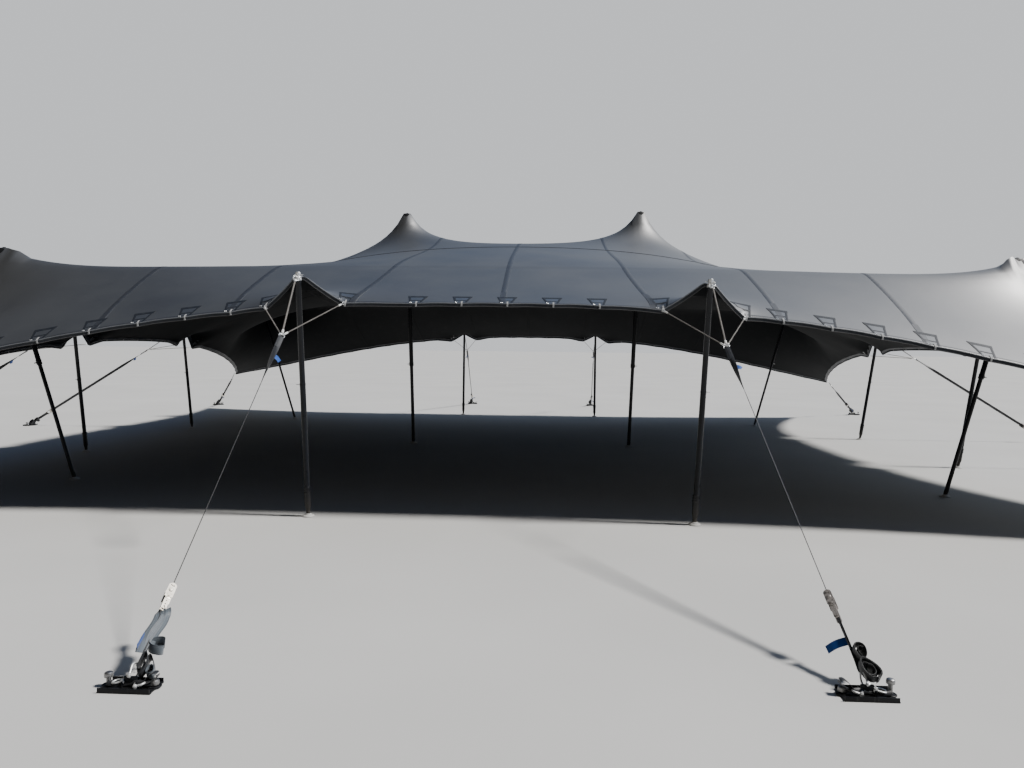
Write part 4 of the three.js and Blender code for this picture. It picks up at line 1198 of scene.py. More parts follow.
for side, side_name in ((-1, "left"), (1, "right")):
    edge_u = side * HALF_WIDTH
    add_tie_down(f"front_{side_name}", side, on_cloth(side * FRONT_TIP, -HALF_DEPTH),
                 [on_cloth(side * u, -HALF_DEPTH) for u in FRONT_EYES], (0, -1, 0), (side * 2.01, -6.32),
                 (2.162, -RIGHT_PLATE_REACH) if side > 0 else (-1.665, -PLATE_REACH), 0, 1.20, 0.072)
    add_tie_down(f"rear_{side_name}", side, on_cloth(side * REAR_TIP, HALF_DEPTH),
                 [on_cloth(side * u, HALF_DEPTH) for u in REAR_EYES], (0, 1, 0), (side * 1.755, 6.32),
                 (side * 1.9, PLATE_REACH), math.pi, 1.0, 0.02)
    for end, end_name in ((-1, "front"), (1, "rear")):
        add_tie_down(f"{end_name}_side_{side_name}", side, on_cloth(edge_u, end * SIDE_TIP),
                     [on_cloth(edge_u, end * v) for v in SIDE_EYES], (side, 0, 0),
                     (6.95 if side > 0 else -7.12, end * SIDE_TIP), (side * 10.7, end * SIDE_TIP),
                     side * math.pi / 2, 0.9)
        add_tie_down(f"{end_name}_corner_{side_name}", side, on_cloth(edge_u, end * HALF_DEPTH), [],
                     (side, end, 0), None, (side * 9.35, end * 8.35), math.atan2(side, -end), 0.3)

spigots = Shape()
for tie in tie_downs:
    if tie["foot"] is None:
        continue
    ring, r = tie["ring"], HEM_POLE_RADIUS
    foot_x, foot_y = tie["foot"]
    lean = math.hypot(ring.x - foot_x, ring.y - foot_y) / ring.z
    head = Vector((ring.x, ring.y, ring.z - RING_BAR / 2 - 0.0003 - SHOULDER_RADIUS * lean))
    foot = Vector((foot_x, foot_y, PAD_HEIGHT / 2))
    length = (head - foot).length
    joint, neck = length * JOINT_SHARE, SHOULDER_RADIUS - 0.003
    shape = Shape()
    grip_rings = []
    for start in (GRIP_START + GRIP_STEP * k for k in range(3)):
        grip_rings += [(start, r * 1.12), (start + 0.0025, r * 1.28), (start + 0.0165, r * 1.28),
                       (start + 0.019, r * 1.12)]
    shape.lathe(foot, head, [
        (0.05, 0), (0.05, r * 0.72), (0.062, r * 0.76), (0.108, r * 1.10), (0.114, r * 1.12),
        (0.225, r * 1.12), *grip_rings, (0.309, r * 1.02), (0.312, r), (joint, r),
        (joint + 0.001, r * 1.05), (joint + 0.028, r * 1.05), (joint + 0.029, r * 0.97),
        (length - 0.062, r * 0.97), (length - 0.050, neck), (length - 0.030, neck),
        (length - 0.030, 0)], sides=36)
    tube = shape.build(f"{tie['name']}_tube", "pole_black", [black_paint], sharp=30)
    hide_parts(cad_node(tie["name"], "pole"))
    feet.lathe(foot, head, [(0, 0), (0, r * 0.50), (0.003, r * 0.60), (0.010, r * 0.66), (0.052, r * 0.74),
                            (0.056, r * 0.70), (0.056, 0)], sides=30)
    stand_pad(foot_x, foot_y)
    base = Vector((head.x, head.y, head.z - 0.008))
    s = SPIGOT_RADIUS
    spigots.lathe(base, base + UP, [
        (0, 0), (0, s * 0.94), (0.020, s * 0.94), (0.021, s), (0.030, s), (0.031, s * 0.92),
        (0.044, s * 0.92), (0.045, s), (0.054, s), (0.055, s * 0.92), (0.062, s * 0.92), (0.066, s * 0.86),
        (0.0685, s * 0.70), (0.069, s * 0.45), (0.064, s * 0.42), (0.064, 0)], sides=32)
    collar, reach = head - (head - foot).normalized() * 0.0298, SHOULDER_RADIUS
    spigots.lathe(collar, head, [(0, 0), (0, reach - 0.004), (0.003, reach - 0.001), (0.026, reach - 0.001),
                                 (0.0298, reach - 0.004), (0.0298, 0)], sides=36)
    sideways = Vector((-tie["outward"].y, tie["outward"].x, 0)) * (1 if tie["side"] < 0 else -1)
    bolt = base + UP * 0.037
    spigots.lathe(bolt - sideways * (s + 0.006), bolt + sideways, [
        (0, 0), (0, 0.0075), (0.006, 0.0075), (0.006, 0.0042), (2 * s + 0.014, 0.0042),
        (2 * s + 0.014, 0.0075), (2 * s + 0.021, 0.0075), (2 * s + 0.0215, 0.0035), (2 * s + 0.031, 0.0035),
        (2 * s + 0.032, 0.0022), (2 * s + 0.032, 0)], sides=6)
    upward = axes_about((head - foot).normalized())[1]
    hand_screw(foot + (head - foot) * (JOINT_SHARE + 0.014 / length) - upward * r, -upward, 0.006)
pads.build("pole_pads", "plastic_white", [pale_plastic], sharp=30)
pole_caps = caps.build("pole_caps", "rubber_black", [black_rubber], sharp=40)
feet.build("pole_feet", "rubber_black", [black_rubber], sharp=40)
pins.build("pole_pins", "bare_steel", [bright_steel], sharp=30)
pole_spigots = spigots.build("pole_spigots", "bare_steel", [bright_steel], sharp=30)


# Head rings and shackles
# A forged ring lies on each pole's shoulder, with the hem's corner sewn to it. A bow shackle of
# polished steel takes the pull from the ring to the head rope.
HEAD_SHACKLE = 0.078


def bow_shackle(shape, pin_at, pull, pin_way, size, bar):
    """A bow of round bar with two eyes closed by a pin. The pull runs from the pin to the bow."""
    pin_at, pull = Vector(pin_at), Vector(pull).normalized()
    pin_way = Vector(pin_way)
    pin_way = (pin_way - pull * pin_way.dot(pull)).normalized()
    narrow, wide = size * 0.30, size * 0.40
    path = [pin_at + pin_way * narrow + pull * (bar * 0.4),
            pin_at + pin_way * narrow + pull * (size * 0.18)]
    for k in range(13):
        turn = math.pi * k / 12
        path.append(pin_at + pin_way * wide * math.cos(turn) * (1.0 if 0 < k < 12 else 0.95)
                    + pull * (size * 0.5 + wide * 1.05 * math.sin(turn)))
    path += [pin_at - pin_way * narrow + pull * (size * 0.18),
             pin_at - pin_way * narrow + pull * (bar * 0.4)]
    shape.tube(path, bar / 2, sides=10)
    for way in (-1, 1):
        eye = pin_at + pin_way * (way * narrow)
        shape.lathe(eye - pin_way * bar * 0.55, eye + pin_way, [
            (0, 0), (0, bar * 0.8), (bar * 0.15, bar * 1.0), (bar * 0.95, bar * 1.0),
            (bar * 1.1, bar * 0.8), (bar * 1.1, 0)], sides=18)
    reach = narrow + bar * 1.0
    shape.lathe(pin_at - pin_way * reach, pin_at + pin_way, [
        (0, 0), (0, bar * 0.5), (2 * reach - bar * 0.3, bar * 0.5), (2 * reach - bar * 0.3, bar * 0.85),
        (2 * reach + bar * 0.4, bar * 0.85), (2 * reach + bar * 0.5, bar * 0.6),
        (2 * reach + bar * 0.5, 0)], sides=12)


shape = Shape()
for tie in tie_downs:
    shape.ring(tie["ring"], UP, RING_RADIUS, RING_BAR, around=40, sides=12)
    grip = tie["ring"] + tie["outward"] * RING_RADIUS
    bow_shackle(shape, grip + tie["pull"] * 0.006, tie["pull"], tie["level"], HEAD_SHACKLE, 0.012)
head_rings = shape.build("head_rings", "bare_steel", [bright_steel], sharp=40)


# Bridle ropes
# Grey laid rope of three strands runs from each head shackle, 17 mm thick, and from the two hem eyes,
# 12 mm thick, to a gathering ring. A node tree lays the strands. Each end has a steel eye and a pale
# sleeve, but the sleeve at the head shackle is left off.
SLEEVE_LENGTH, HEAD_SLEEVE, EYE_SLEEVE = 0.055, 0.0112, 0.0088
GATHER_RADIUS, GATHER_BAR = 0.026, 0.009
rope_grey = rope_material("rope_grey", (0.085, 0.078, 0.072), (0.19, 0.175, 0.16))
sleeve_white = rope_material("sleeve_white", (0.58, 0.58, 0.56), (0.74, 0.74, 0.72), rough=0.5, grain=120.0)

thick_rope = {"Material": rope_grey, "Spread": 0.0045, "Strand": 0.0043, "Lay": 0.075, "Step": 0.011}
thin_rope = {"Material": rope_grey, "Spread": 0.0031, "Strand": 0.0030, "Lay": 0.055, "Step": 0.009}
tree, entry, leave = new_growth("lay_rope", thick_rope)
line = add_node(tree, "GeometryNodeMeshToCurve", {"Mesh": entry.outputs["Geometry"]})
even = add_node(tree, "GeometryNodeResampleCurve",
                {"Curve": line.outputs["Curve"], "Length": entry.outputs["Step"]}, mode="LENGTH")
strands = add_node(tree, "GeometryNodeDuplicateElements", {"Geometry": even.outputs["Curve"], "Amount": 3},
                   domain="SPLINE")
along = add_node(tree, "GeometryNodeSplineParameter")
normal = add_node(tree, "GeometryNodeInputNormal")
tangent = add_node(tree, "GeometryNodeInputTangent")
binormal = add_node(tree, "ShaderNodeVectorMath",
                    {0: tangent.outputs["Tangent"], 1: normal.outputs["Normal"]}, operation="CROSS_PRODUCT")
third = calc(tree, "DIVIDE", strands.outputs["Duplicate Index"], 3.0)
laps = calc(tree, "DIVIDE", along.outputs["Length"], entry.outputs["Lay"])
angle = times(tree, calc(tree, "ADD", laps, third), 2 * math.pi)
rise = times(tree, calc(tree, "COSINE", angle), entry.outputs["Spread"])
swing = times(tree, calc(tree, "SINE", angle), entry.outputs["Spread"])
to_normal = add_node(tree, "ShaderNodeVectorMath", {0: normal.outputs["Normal"], "Scale": rise},
                     operation="SCALE")
to_side = add_node(tree, "ShaderNodeVectorMath", {0: binormal.outputs["Vector"], "Scale": swing},
                   operation="SCALE")
away = add_node(tree, "ShaderNodeVectorMath",
                {0: to_normal.outputs["Vector"], 1: to_side.outputs["Vector"]}, operation="ADD")
moved = add_node(tree, "GeometryNodeSetPosition", {"Geometry": strands.outputs["Geometry"],
                                                   "Offset": away.outputs["Vector"]})
section = add_node(tree, "GeometryNodeCurvePrimitiveCircle",
                   {"Resolution": 6, "Radius": entry.outputs["Strand"]})
laid = add_node(tree, "GeometryNodeCurveToMesh", {"Curve": moved.outputs["Geometry"],
                                                  "Profile Curve": section.outputs["Curve"],
                                                  "Fill Caps": True})
finish_growth(tree, laid.outputs["Mesh"], entry, leave)

head_lines, eye_lines = [], []
fittings, sleeves = Shape(), Shape()


def hang_rope(start, end, lines, sleeved, thick):
    """One bridle rope between two eyes, with its thimbles and its sleeves of the given thickness."""
    start, end = Vector(start), Vector(end)
    way = (end - start).normalized()
    upward = axes_about(way)[1]
    for at, into, wanted in ((start, way, sleeved), (end, -way, True)):
        fittings.ring(at + into * 0.014, upward, 0.0125, 0.006, around=20, sides=8)
        collar = at + into * 0.024
        if wanted:
            sleeves.lathe(collar, collar + into, [
                (0, 0), (0, thick * 0.7), (0.004, thick), (SLEEVE_LENGTH * 0.5, thick * 1.06),
                (SLEEVE_LENGTH - 0.004, thick), (SLEEVE_LENGTH, thick * 0.85), (SLEEVE_LENGTH, 0)],
                sides=20)
    lines.append((start + way * 0.026, end - way * 0.03))


for tie in tie_downs:
    gather, pull = tie["gather"], tie["pull"]
    fittings.ring(gather, tie["standing"], GATHER_RADIUS, GATHER_BAR)
    grip = tie["ring"] + tie["outward"] * RING_RADIUS + pull * (HEAD_SHACKLE + 0.002)
    gather_edge = gather - (gather - grip).normalized() * (GATHER_RADIUS - 0.006)
    hang_rope(grip, gather_edge, head_lines, False, HEAD_SLEEVE)
    for eye in tie["eyes"]:
        way = (gather - eye).normalized()
        bow_shackle(fittings, eye - way * 0.004, way, UP, 0.034, 0.006)
        hang_rope(eye + way * 0.030, gather - way * (GATHER_RADIUS - 0.006), eye_lines, True, EYE_SLEEVE)
for name, values, lines in (("head_ropes", thick_rope, head_lines), ("bridle_ropes", thin_rope, eye_lines)):
    grow(name, tree, values, [end for line in lines for end in line],
         [(2 * k, 2 * k + 1) for k in range(len(lines))])
sleeves.build("rope_sleeves", "guy_rope", [sleeve_white])
fittings.build("rope_fittings", "bare_steel", [bright_steel], sharp=40)


# Guy webbing
# Black polyester webbing 50 mm wide runs from the gathering ring to the ratchet and turns on edge on
# its way. Another length runs on from the ratchet's bolt to the shackle at the ground plate. Every
# end is folded back and sewn, apart from the one that the spool takes up.
WEBBING_WIDTH, WEBBING_THICKNESS = 0.050, 0.0034
SPOOL_FROM_LUG = 0.562
SPOOL_RADIUS = 0.019
BOLT_FROM_SPOOL = 0.128
SEWN_LENGTH = 0.17
guy_webbing = band_material("guy_webbing", (0.006, 0.007, 0.010), (0.012, 0.014, 0.018),
                            (0.05, 0.055, 0.06), rough=0.5, row=0.017, ribs=330.0, sheen=0.1, gloss=0.5)
grey_webbing = band_material("grey_webbing", (0.075, 0.095, 0.115), (0.13, 0.155, 0.18), (0.20, 0.22, 0.24),
                             rough=0.5, row=0.017, ribs=330.0, sheen=0.3, gloss=0.45,
                             edge=(WEBBING_WIDTH / 2, 0.4))


def turned_facing(tie, share):
    """The way of the webbing's width: level at share 0, standing on edge at share 1."""
    turn = share * math.pi / 2
    return tie["level"] * math.cos(turn) + tie["standing"] * math.sin(turn)


def strap_run(shape, tie, start, end, first, last, count, aside=0.0):
    """A length of webbing between two distances from the guy's start, turning from first to last."""
    path, facing = [], []
    for k in range(count + 1):
        share = k / count
        eased = share * share * (3 - 2 * share)
        path.append(tie["start"] + tie["pull"] * (start + (end - start) * share) + tie["level"] * aside)
        facing.append(turned_facing(tie, first + (last - first) * eased))
    shape.ribbon(path, facing, WEBBING_WIDTH, WEBBING_THICKNESS)


def sewn_end(shape, tie, distance, way, share, bar):
    """Webbing folded round a bar of the given radius and sewn back on itself."""
    facing = turned_facing(tie, share)
    across = tie["pull"].cross(facing).normalized()
    centre = tie["start"] + tie["pull"] * distance
    path = []
    for k in range(11):
        turn = math.pi * (0.5 + k / 10)
        path.append(centre + tie["pull"] * (way * math.cos(turn) * bar) + across * (math.sin(turn) * bar))
    tail = tie["pull"] * (way * SEWN_LENGTH)
    near, far = across * (WEBBING_THICKNESS * 0.9), across * (WEBBING_THICKNESS * 0.55)
    path = [centre + tail + far, centre + tail * 0.3 + near, *path, centre + tail * 0.3 - near,
            centre + tail - far]
    shape.ribbon(path, facing, WEBBING_WIDTH, WEBBING_THICKNESS * 0.8)


for tie in tie_downs:
    gather_at = (tie["gather"] - tie["start"]).length
    spool_at = tie["run"] - SPOOL_FROM_LUG
    shape = Shape()
    turning = min(gather_at + 0.75, (gather_at + spool_at) / 2)
    strap_run(shape, tie, gather_at + 0.045, turning, 0.0, 1.0, 24)
    strap_run(shape, tie, turning, spool_at - 0.008, 1.0, 1.0, 30)
    sewn_end(shape, tie, gather_at + GATHER_RADIUS, 1, 0.0, 0.0075)
    webbing = shape.build(f"{tie['name']}_webbing", "guy_webbing", [guy_webbing], sharp=50)
    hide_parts(cad_node(tie["name"], "guy"))


# Ratchets
# Each guy is pulled tight by a ratchet of bright plated steel that stands on edge: a narrow base
# frame, a broad round-ended handle, a split spool between two toothed wheels and a sliding pawl.
HANDLE_WIDTH, HANDLE_UP, HANDLE_DOWN = 0.046, 0.050, 0.050
BASE_WIDTH, BASE_UP, BASE_DOWN = 0.030, 0.016, 0.146
HANDLE_GAP, BASE_GAP = 0.034, 0.029
WHEEL_RADIUS, WHEEL_TEETH = 0.0225, 12
SIDE_THICKNESS, BASE_THICKNESS = 0.0026, 0.0028
HANDLE_HOLES = [(-0.030, 0.006, 0.0048), (-0.036, -0.010, 0.0032), (0.030, 0.010, 0.0036),
                (0.036, -0.012, 0.0030)]
BASE_HOLES = [(0.075, 0.0, 0.0042), (0.098, 0.0, 0.0042)]
CORE_RADIUS, COIL_TURNS = 0.0105, 3.4
plated_steel = metal_material("plated_steel", (0.62, 0.58, 0.50), (0.84, 0.80, 0.72), 0.36, metal=0.45,
                              scratch=0.4, scratch_tone=(0.95, 0.93, 0.88), grime=0.15, height=0.4)
# A darker copy of the plated steel for the right-hand ratchets, as painted shade.
shaded_plated_steel = metal_material("shaded_plated_steel", (0.30, 0.28, 0.265), (0.50, 0.47, 0.45), 0.40, metal=0.45,
                              scratch=0.5, scratch_tone=(0.75, 0.73, 0.70), grime=0.3)
dark_steel = metal_material("dark_steel", (0.10, 0.10, 0.105), (0.17, 0.17, 0.175), 0.42, scratch=0.5,
                            scratch_tone=(0.45, 0.45, 0.45), grime=0.4, height=0.8)
wheels = Shape()
bodies, grips, wound = Shape(), Shape(), Shape()


def cheek(shape, tie, spool, offset, size, thickness, lower_end_round, holes, skin):
    """A flat side plate across the spool, its upper end round and its lower end round or square.

    Size is its width and how far it reaches up and down from the spool. A hole is (along, aside, radius).
    """
    pull, level, standing = tie["pull"], tie["level"], tie["standing"]
    width, up, down = size
    half = width / 2
    outline = []
    for centre, way, is_round in ((down, 1, lower_end_round), (-up, -1, True)):
        if is_round:
            for k in range(13):
                turn = math.pi * (k / 12 - 0.5) + (0 if way > 0 else math.pi)
                outline.append((centre - way * half + math.cos(turn) * half, math.sin(turn) * half))
        else:
            for along, side in ((-0.004, -1), (0, -0.8), (0, 0.8), (-0.004, 1)):
                outline.append((centre + way * along, way * side * half))
    loops = [outline]
    for along, aside, radius in holes:
        loops.append([(along + radius * math.cos(t), aside + radius * math.sin(t)) for t in turns_of(14)])
    made = bmesh.new()
    edges = []
    for loop in loops:
        rim = [made.verts.new((a, b, 0)) for a, b in loop]
        edges += [made.edges.new((rim[k], rim[(k + 1) % len(rim)])) for k in range(len(rim))]
    bmesh.ops.triangle_fill(made, edges=edges, use_beauty=True, use_dissolve=False)
    bmesh.ops.recalc_face_normals(made, faces=made.faces[:])
    grown = bmesh.ops.extrude_face_region(made, geom=made.faces[:])
    for item in grown["geom"]:
        if isinstance(item, bmesh.types.BMVert):
            item.co.z += thickness
    bmesh.ops.recalc_face_normals(made, faces=made.faces[:])
    made.verts.index_update()
    corner = spool + standing * (offset - thickness / 2)
    points = [corner + pull * v.co.x + level * v.co.y + standing * v.co.z for v in made.verts]
    local = [(v.co.x, v.co.y) for v in made.verts]
    flip = pull.cross(level).dot(standing) < 0
    faces, flats = [], []
    for face in made.faces:
        loop = [v.index for v in face.verts]
        faces.append(loop[::-1] if flip else loop)
        flats.append([local[k] for k in faces[-1]])
    made.free()
    shape.add(points, faces, flats, [skin] * len(faces))


for tie in tie_downs:
    pull, level, standing = tie["pull"], tie["level"], tie["standing"]
    spool = tie["start"] + pull * (tie["run"] - SPOOL_FROM_LUG)
    # The right-hand ratchets take the darker copy of the plated steel: painted shade.
    skin = 0 if tie["side"] < 0 else 1
    for way in (-1, 1):
        cheek(bodies, tie, spool, way * HANDLE_GAP, (HANDLE_WIDTH, HANDLE_UP, HANDLE_DOWN), SIDE_THICKNESS,
              False, HANDLE_HOLES, skin)
        cheek(bodies, tie, spool, way * BASE_GAP, (BASE_WIDTH, BASE_UP, BASE_DOWN), BASE_THICKNESS, True,
              BASE_HOLES, skin)
        hub = spool + standing * (way * (HANDLE_GAP + 0.001))
        bodies.lathe(hub, hub + standing * way, [
            (0, 0), (0, 0.013), (0.004, 0.013), (0.0055, 0.011), (0.0055, 0.0065), (0.008, 0.006),
            (0.0085, 0)], sides=24, skin=skin)
        teeth = []
        for k, turn in enumerate(turns_of(WHEEL_TEETH * 4)):
            radius = WHEEL_RADIUS * (1.0, 0.98, 0.84, 0.82)[k % 4]
            teeth.append((level * math.cos(turn) + pull * math.sin(turn)) * radius)
        if level.cross(pull).dot(standing) < 0:
            teeth = teeth[::-1]
        face = spool + standing * (way * 0.0245)
        wheels.loft([[face - standing * 0.0018 + t for t in teeth],
                     [face + standing * 0.0018 + t for t in teeth]])
    for at, radius, reach in ((-HANDLE_UP + 0.012, 0.0062, HANDLE_GAP),
                              (HANDLE_DOWN - 0.010, 0.0045, HANDLE_GAP),
                              (BOLT_FROM_SPOOL, 0.0062, BASE_GAP + 0.003)):
        middle = spool + pull * at
        head, across = radius * 1.5, 2 * reach
        bodies.lathe(middle - standing * (reach + 0.006), middle + standing, [
            (0, 0), (0, head), (0.005, head), (0.005, radius), (across + 0.007, radius),
            (across + 0.007, head), (across + 0.012, head), (across + 0.012, 0)], sides=16, skin=skin)
    middle = spool - pull * (HANDLE_UP - 0.012)
    grip_end = 2 * HANDLE_GAP - 0.006
    ribs = [(0.008 + 0.006 * k, 0.0125 - 0.0016 * (k % 2)) for k in range(9)]
    grips.lathe(middle - standing * (HANDLE_GAP - 0.003), middle + standing, [
        (0, 0), (0, 0.011), (0.003, 0.0125), *ribs, (grip_end - 0.003, 0.0125), (grip_end, 0.011),
        (grip_end, 0)], sides=20)
    for at in (0.052, 0.030):
        bodies.block(spool + pull * at, pull, level, (0.016, BASE_WIDTH * 0.9, 2 * BASE_GAP + 0.008),
                     0.0012, skin)
    for way in (-1, 1):
        half_moon = []
        for turn in (math.pi * k / 9 for k in range(10)):
            half_moon.append(level * (way * (0.0022 + 0.0085 * math.sin(turn)))
                             + pull * (0.0085 * math.cos(turn)))
        if way * level.cross(pull).dot(standing) > 0:
            half_moon = half_moon[::-1]
        bodies.loft([[spool + standing * reach + t for t in half_moon] for reach in (-0.033, 0.033)], skin)
    coil = []
    for k in range(int(COIL_TURNS * 20) + 1):
        turn = 2 * math.pi * k / 20
        radius = CORE_RADIUS + (SPOOL_RADIUS - CORE_RADIUS) * k / (COIL_TURNS * 20)
        coil.append(spool + level * (math.cos(turn) * radius) + pull * (math.sin(turn) * radius))
    wound.ribbon(coil, standing, 0.0445, 0.0023)
bodies.build("ratchet_bodies", "bare_steel", [plated_steel, shaded_plated_steel], sharp=30)
wheels.build("ratchet_wheels", "bare_steel", [dark_steel], sharp=30)
grips.build("ratchet_grips", "rubber_black", [black_rubber], sharp=30)
wound.build("wound_webbing", "guy_webbing", [guy_webbing], sharp=50)


# Lower straps, surplus webbing and tags
# Below the ratchet a doubled strap leads to the ground shackle. The surplus of the guy is wound in
# loose loops beside it, and a small bare blue tag is sewn to its other edge. On the left front guy
# the surplus is paler: it hangs broad below the ratchet and ends in a curl. Places and loop sizes
# are given one by one.
STRAP_END = 0.100
PALE_WIDTH, SURPLUS_THICKNESS = 0.058, 0.0026
TAG_WIDTH, GUY_TAG_WIDTH, TAG_THICKNESS = 0.052, 0.060, 0.0012
lower, hanks, tags = Shape(), Shape(), Shape()


def beside(tie, from_lug, aside, out=0.0):
    """A place near the lower strap: how far up it from the lug, how far beside it and out from it."""
    return tie["lug"] - tie["pull"] * from_lug + tie["level"] * aside + tie["standing"] * out


def wind(centre, along, facing, long, wide, turns, skin=0, pear=0.25, drift=0.0, width=WEBBING_WIDTH):
    """Loose loops of webbing, wider towards the end that along points to, no two laps alike."""
    facing = Vector(facing).normalized()
    along = Vector(along)
    along = (along - facing * along.dot(facing)).normalized()
    across = facing.cross(along)
    path = []
    for k in range(int(turns * 20) + 1):
        turn, lap = 2 * math.pi * k / 20, k / 20
        shrink = 1 - 0.15 * lap + 0.06 * math.sin(2.3 * lap)
        swell = 1 + pear * math.cos(turn) + 0.06 * math.sin(2 * turn + lap)
        path.append(centre + along * (math.cos(turn) * long / 2 * shrink + 0.005 * math.sin(2.9 * lap))
                    + across * (math.sin(turn) * wide / 2 * shrink * swell + 0.006 * math.sin(1.7 * lap))
                    + facing * (drift * lap + 0.004 * math.sin(2.1 * lap)))
    hanks.ribbon(path, facing, width, SURPLUS_THICKNESS, skin)


for tie in tie_downs:
    run, pull, level, standing = tie["run"], tie["pull"], tie["level"], tie["standing"]
    bolt_at = run - SPOOL_FROM_LUG + BOLT_FROM_SPOOL
    strap_run(lower, tie, bolt_at + 0.004, run - STRAP_END, 1.0, 1.0, 16)
    strap_run(lower, tie, bolt_at + 0.004, run - STRAP_END, 0.85, 0.80, 16, aside=0.0045)
    sewn_end(lower, tie, bolt_at, 1, 1.0, 0.0078)
    sewn_end(lower, tie, run - STRAP_END + 0.014, -1, 1.0, 0.0062)
    if tie["name"] == "front_left":
        slant = standing * 0.85 - level * 0.45
        for shift, twist, length in ((-0.008, 0.10, 0.300), (0.018, -0.22, 0.245)):
            path = [beside(tie, 0.442 - length * k / 24, shift + 0.010 * math.sin(k / 4.2),
                           0.014 + 0.012 * math.sin(k / 7)) for k in range(25)]
            facing = [turned_facing(tie, twist + 0.75 * max(0, 1 - k / 5)) for k in range(25)]
            lower.ribbon(path, facing, PALE_WIDTH, SURPLUS_THICKNESS, 1)
        wind(beside(tie, 0.212, 0.040, 0.03), level, UP * 0.85 + standing * 0.4, 0.085, 0.062, 1.35, skin=1,
             pear=0.1, drift=-0.045, width=0.056)
        wind(beside(tie, 0.068, 0.018, 0.03), -UP, slant, 0.135, 0.046, 2.4)
        wind(beside(tie, 0.076, 0.056, 0.02), level * 0.15 - UP, slant, 0.130, 0.042, 2.2)
        wind(beside(tie, 0.036, 0.066, 0.04), -UP, slant, 0.060, 0.044, 1.3, skin=1)
        flag = [beside(tie, 0.232 - 0.080 * k / 8, -0.034 - 0.010 * k / 8, 0.03 + 0.004 * math.sin(k / 3))
                for k in range(9)]
        tags.ribbon(flag, standing * 0.95 - level * 0.25, TAG_WIDTH, TAG_THICKNESS)
    else:
        slant = standing * 0.85 + level * 0.50
        wind(beside(tie, 0.178, 0.041, 0.01), level * 0.1 - pull, slant, 0.112, 0.068, 2.4)
        wind(beside(tie, 0.178, 0.043, -0.02), level * 0.1 - pull, slant, 0.070, 0.040, 2.2)
        wind(beside(tie, 0.066, 0.044, 0.025), pull + level * 0.45, slant, 0.138, 0.094, 3.3)
        wind(beside(tie, 0.070, 0.041, -0.005), pull + level * 0.3, slant, 0.086, 0.050, 3.2)
        root = beside(tie, 0.278, -0.003)
        flag = [root - level * (0.110 * k / 8) - UP * (0.016 * k / 8)
                + standing * (0.012 * math.sin(math.pi * k / 8)) for k in range(9)]
        tags.ribbon(flag, pull, TAG_WIDTH, TAG_THICKNESS)
    if tie["eyes"]:
        root = tie["gather"] + pull * 0.335
        flag = [root + level * (0.004 + 0.055 * k / 6) - UP * 0.03 * (k / 6) ** 2 for k in range(7)]
        tags.ribbon(flag, pull, GUY_TAG_WIDTH, TAG_THICKNESS)
lower.build("lower_straps", "guy_webbing", [guy_webbing, grey_webbing], sharp=50)
hanks.build("surplus_webbing", "guy_webbing", [guy_webbing, grey_webbing], sharp=50)
blue_tag = band_material("blue_tag", (0.004, 0.06, 0.30), (0.008, 0.09, 0.40), (0.02, 0.14, 0.50),
                         rough=0.45, row=0.022, ribs=500.0)
tags.build("strap_tags", "tag_blue", [blue_tag], sharp=50)


# Ground plates
# A black frame of folded steel with an opening behind its front bar, an upright lug in its middle and
# two round-headed steel stakes through its tent-side corners, the inner one driven home. A shackle
# holds the lower strap, two more lie on the plate, and a sling is laid over them.
PLATE_WIDTH, PLATE_THICKNESS = 0.280, 0.008
FLANGE_HEIGHT, FLANGE_THICKNESS, FLANGE_PLACE = 0.024, 0.006, 0.0715
LUG_WIDTH, LUG_THICKNESS, LUG_HEIGHT = 0.070, 0.012, 0.062
STAKE_SPACING, STAKE_BACK = 0.246, 0.010
plate_black = metal_material("plate_black", (0.003, 0.004, 0.006), (0.007, 0.008, 0.011), 0.34, metal=0.0,
                             scratch=0.4, scratch_tone=(0.12, 0.12, 0.12), grime=0.10, height=0.04,
                             gloss=0.2)
stake_steel = metal_material("stake_steel", (0.22, 0.22, 0.22), (0.38, 0.38, 0.38), 0.42, scratch=0.4,
                             grime=0.5, height=0.06)
INNER_STAKE, LEFT_OUTER_STAKE, RIGHT_OUTER_STAKE = 0.014, 0.046, 0.062
flange = (PLATE_WIDTH - 0.004, FLANGE_THICKNESS, FLANGE_HEIGHT)
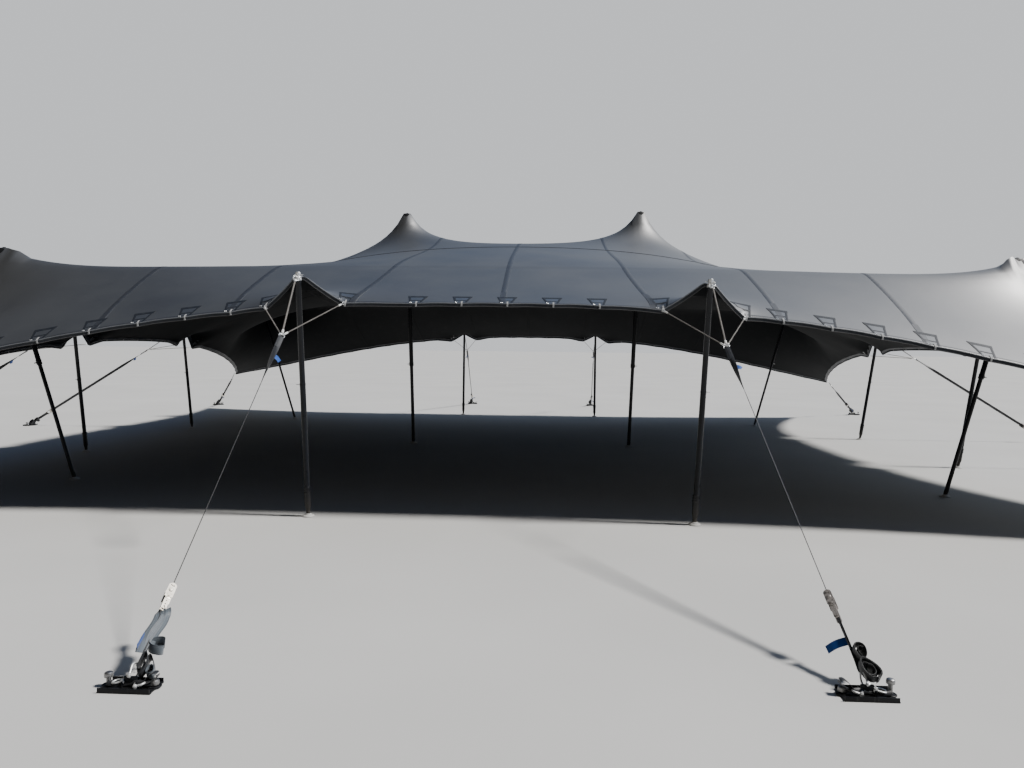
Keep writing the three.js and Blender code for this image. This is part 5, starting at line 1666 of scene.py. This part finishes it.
# The plate's long blocks: place from front to back, height of the middle, size and bevel.
PLATE_BLOCKS = [(0.041, 0.004, (PLATE_WIDTH, 0.062, PLATE_THICKNESS), 0.0016),
                (-0.001, 0.0045, (PLATE_WIDTH - 0.004, 0.030, PLATE_THICKNESS - 0.0004), 0.0016),
                (-0.064, 0.004, (PLATE_WIDTH, 0.022, PLATE_THICKNESS), 0.0016),
                (FLANGE_PLACE, FLANGE_HEIGHT / 2 + 0.002, flange, 0.0016),
                (-FLANGE_PLACE, FLANGE_HEIGHT / 2 + 0.002, flange, 0.0016),
                (0.0, LUG_HEIGHT / 2 + 0.002, (LUG_WIDTH, LUG_THICKNESS, LUG_HEIGHT - 0.004), 0.004)]
stakes, shackles, slings = Shape(), Shape(), Shape()
for tie in tie_downs:
    turn = Matrix.Rotation(tie["turn"], 3, "Z")
    centre = Vector((*tie["plate"], 0))
    right, back = turn @ Vector((1, 0, 0)), turn @ Vector((0, 1, 0))
    outer = tie["side"] if right.x > 0.1 else -tie["side"]
    shape = Shape()
    for place, height, size, bevel in PLATE_BLOCKS:
        shape.block(centre + back * place + UP * height, right, back, size, bevel)
    for place, wide in ((-0.121, 0.036), (0.092, 0.094)):
        shape.block(centre + right * (place * outer) - back * 0.036 + UP * 0.0043, right, back,
                    (wide, 0.052, 0.0074), 0.0016)
    for way in (-1, 1):
        boss = centre + UP * 0.043 + back * (way * LUG_THICKNESS * 0.5)
        shape.lathe(boss - back * way * 0.001, boss + back * way,
                    [(0, 0), (0, 0.016), (0.003, 0.016), (0.004, 0.0145), (0.004, 0)], sides=24)
        shape.block(centre + right * (way * 0.040) + UP * 0.022, right, back, (0.010, 0.046, 0.034), 0.003)
        stake = centre + right * (way * STAKE_SPACING / 2) + back * STAKE_BACK
        h = INNER_STAKE
        if way == outer:
            h = RIGHT_OUTER_STAKE if tie["side"] > 0 else LEFT_OUTER_STAKE
        stakes.lathe(stake + UP * 0.003, stake + UP, [
            (0, 0), (0, 0.026), (0.008, 0.026), (0.009, 0.024), (0.009, 0.012), (h, 0.012),
            (h + 0.001, 0.021), (h + 0.005, 0.0225), (h + 0.018, 0.0225), (h + 0.024, 0.0205),
            (h + 0.028, 0.015), (h + 0.0295, 0.008), (h + 0.030, 0)], sides=28)
        shape.lathe(stake + UP * 0.006, stake + UP,
                    [(0, 0), (0, 0.034), (0.005, 0.034), (0.007, 0.031), (0.007, 0)], sides=28)
    plate = shape.build(f"{tie['name']}_plate", "plate_steel", [plate_black], sharp=30)
    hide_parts(cad_node(tie["name"], "anchor"))
    bow_shackle(shackles, tie["lug"] + tie["outward"] * 0.016, -tie["pull"], back, 0.096, 0.011)
    bow_shackle(shackles, centre - right * (0.040 * outer) - back * 0.030 + UP * 0.026,
                back * 0.4 - right * outer + UP * 0.25, back, 0.050, 0.011)
    bow_shackle(shackles, centre + right * (0.045 * outer) + back * 0.010 + UP * 0.034,
                right * outer - back * 0.2 - UP * 0.15, back, 0.060, 0.011)
    fold, upright = right * (-0.82 * outer) + UP * 0.57, right * (0.57 * outer) + UP * 0.82
    loop = []
    middle = centre - right * (0.098 * outer) + UP * 0.050
    for bend in turns_of(24):
        loop.append(middle + fold * (0.048 * math.cos(bend)) + back * (0.010 * math.cos(bend))
                    + upright * (0.011 * math.sin(bend) * (1.3 + math.cos(bend))))
    slings.ribbon(loop, back, 0.044, 0.0026)
    strap = []
    for k in range(31):
        share = k / 30
        strap.append(centre - right * ((0.115 - 0.235 * share) * outer)
                     - back * (0.012 + 0.006 * math.sin(9 * share))
                     + UP * (0.030 + 0.008 * math.sin(6.3 * share)))
    slings.ribbon(strap, back * 0.6 + UP * 0.8, 0.022, 0.0024)
stakes.build("ground_stakes", "bare_steel", [stake_steel], sharp=30)
shackles.build("ground_shackles", "bare_steel", [bright_steel], sharp=40)
slings.build("ground_slings", "guy_webbing", [guy_webbing], sharp=50)
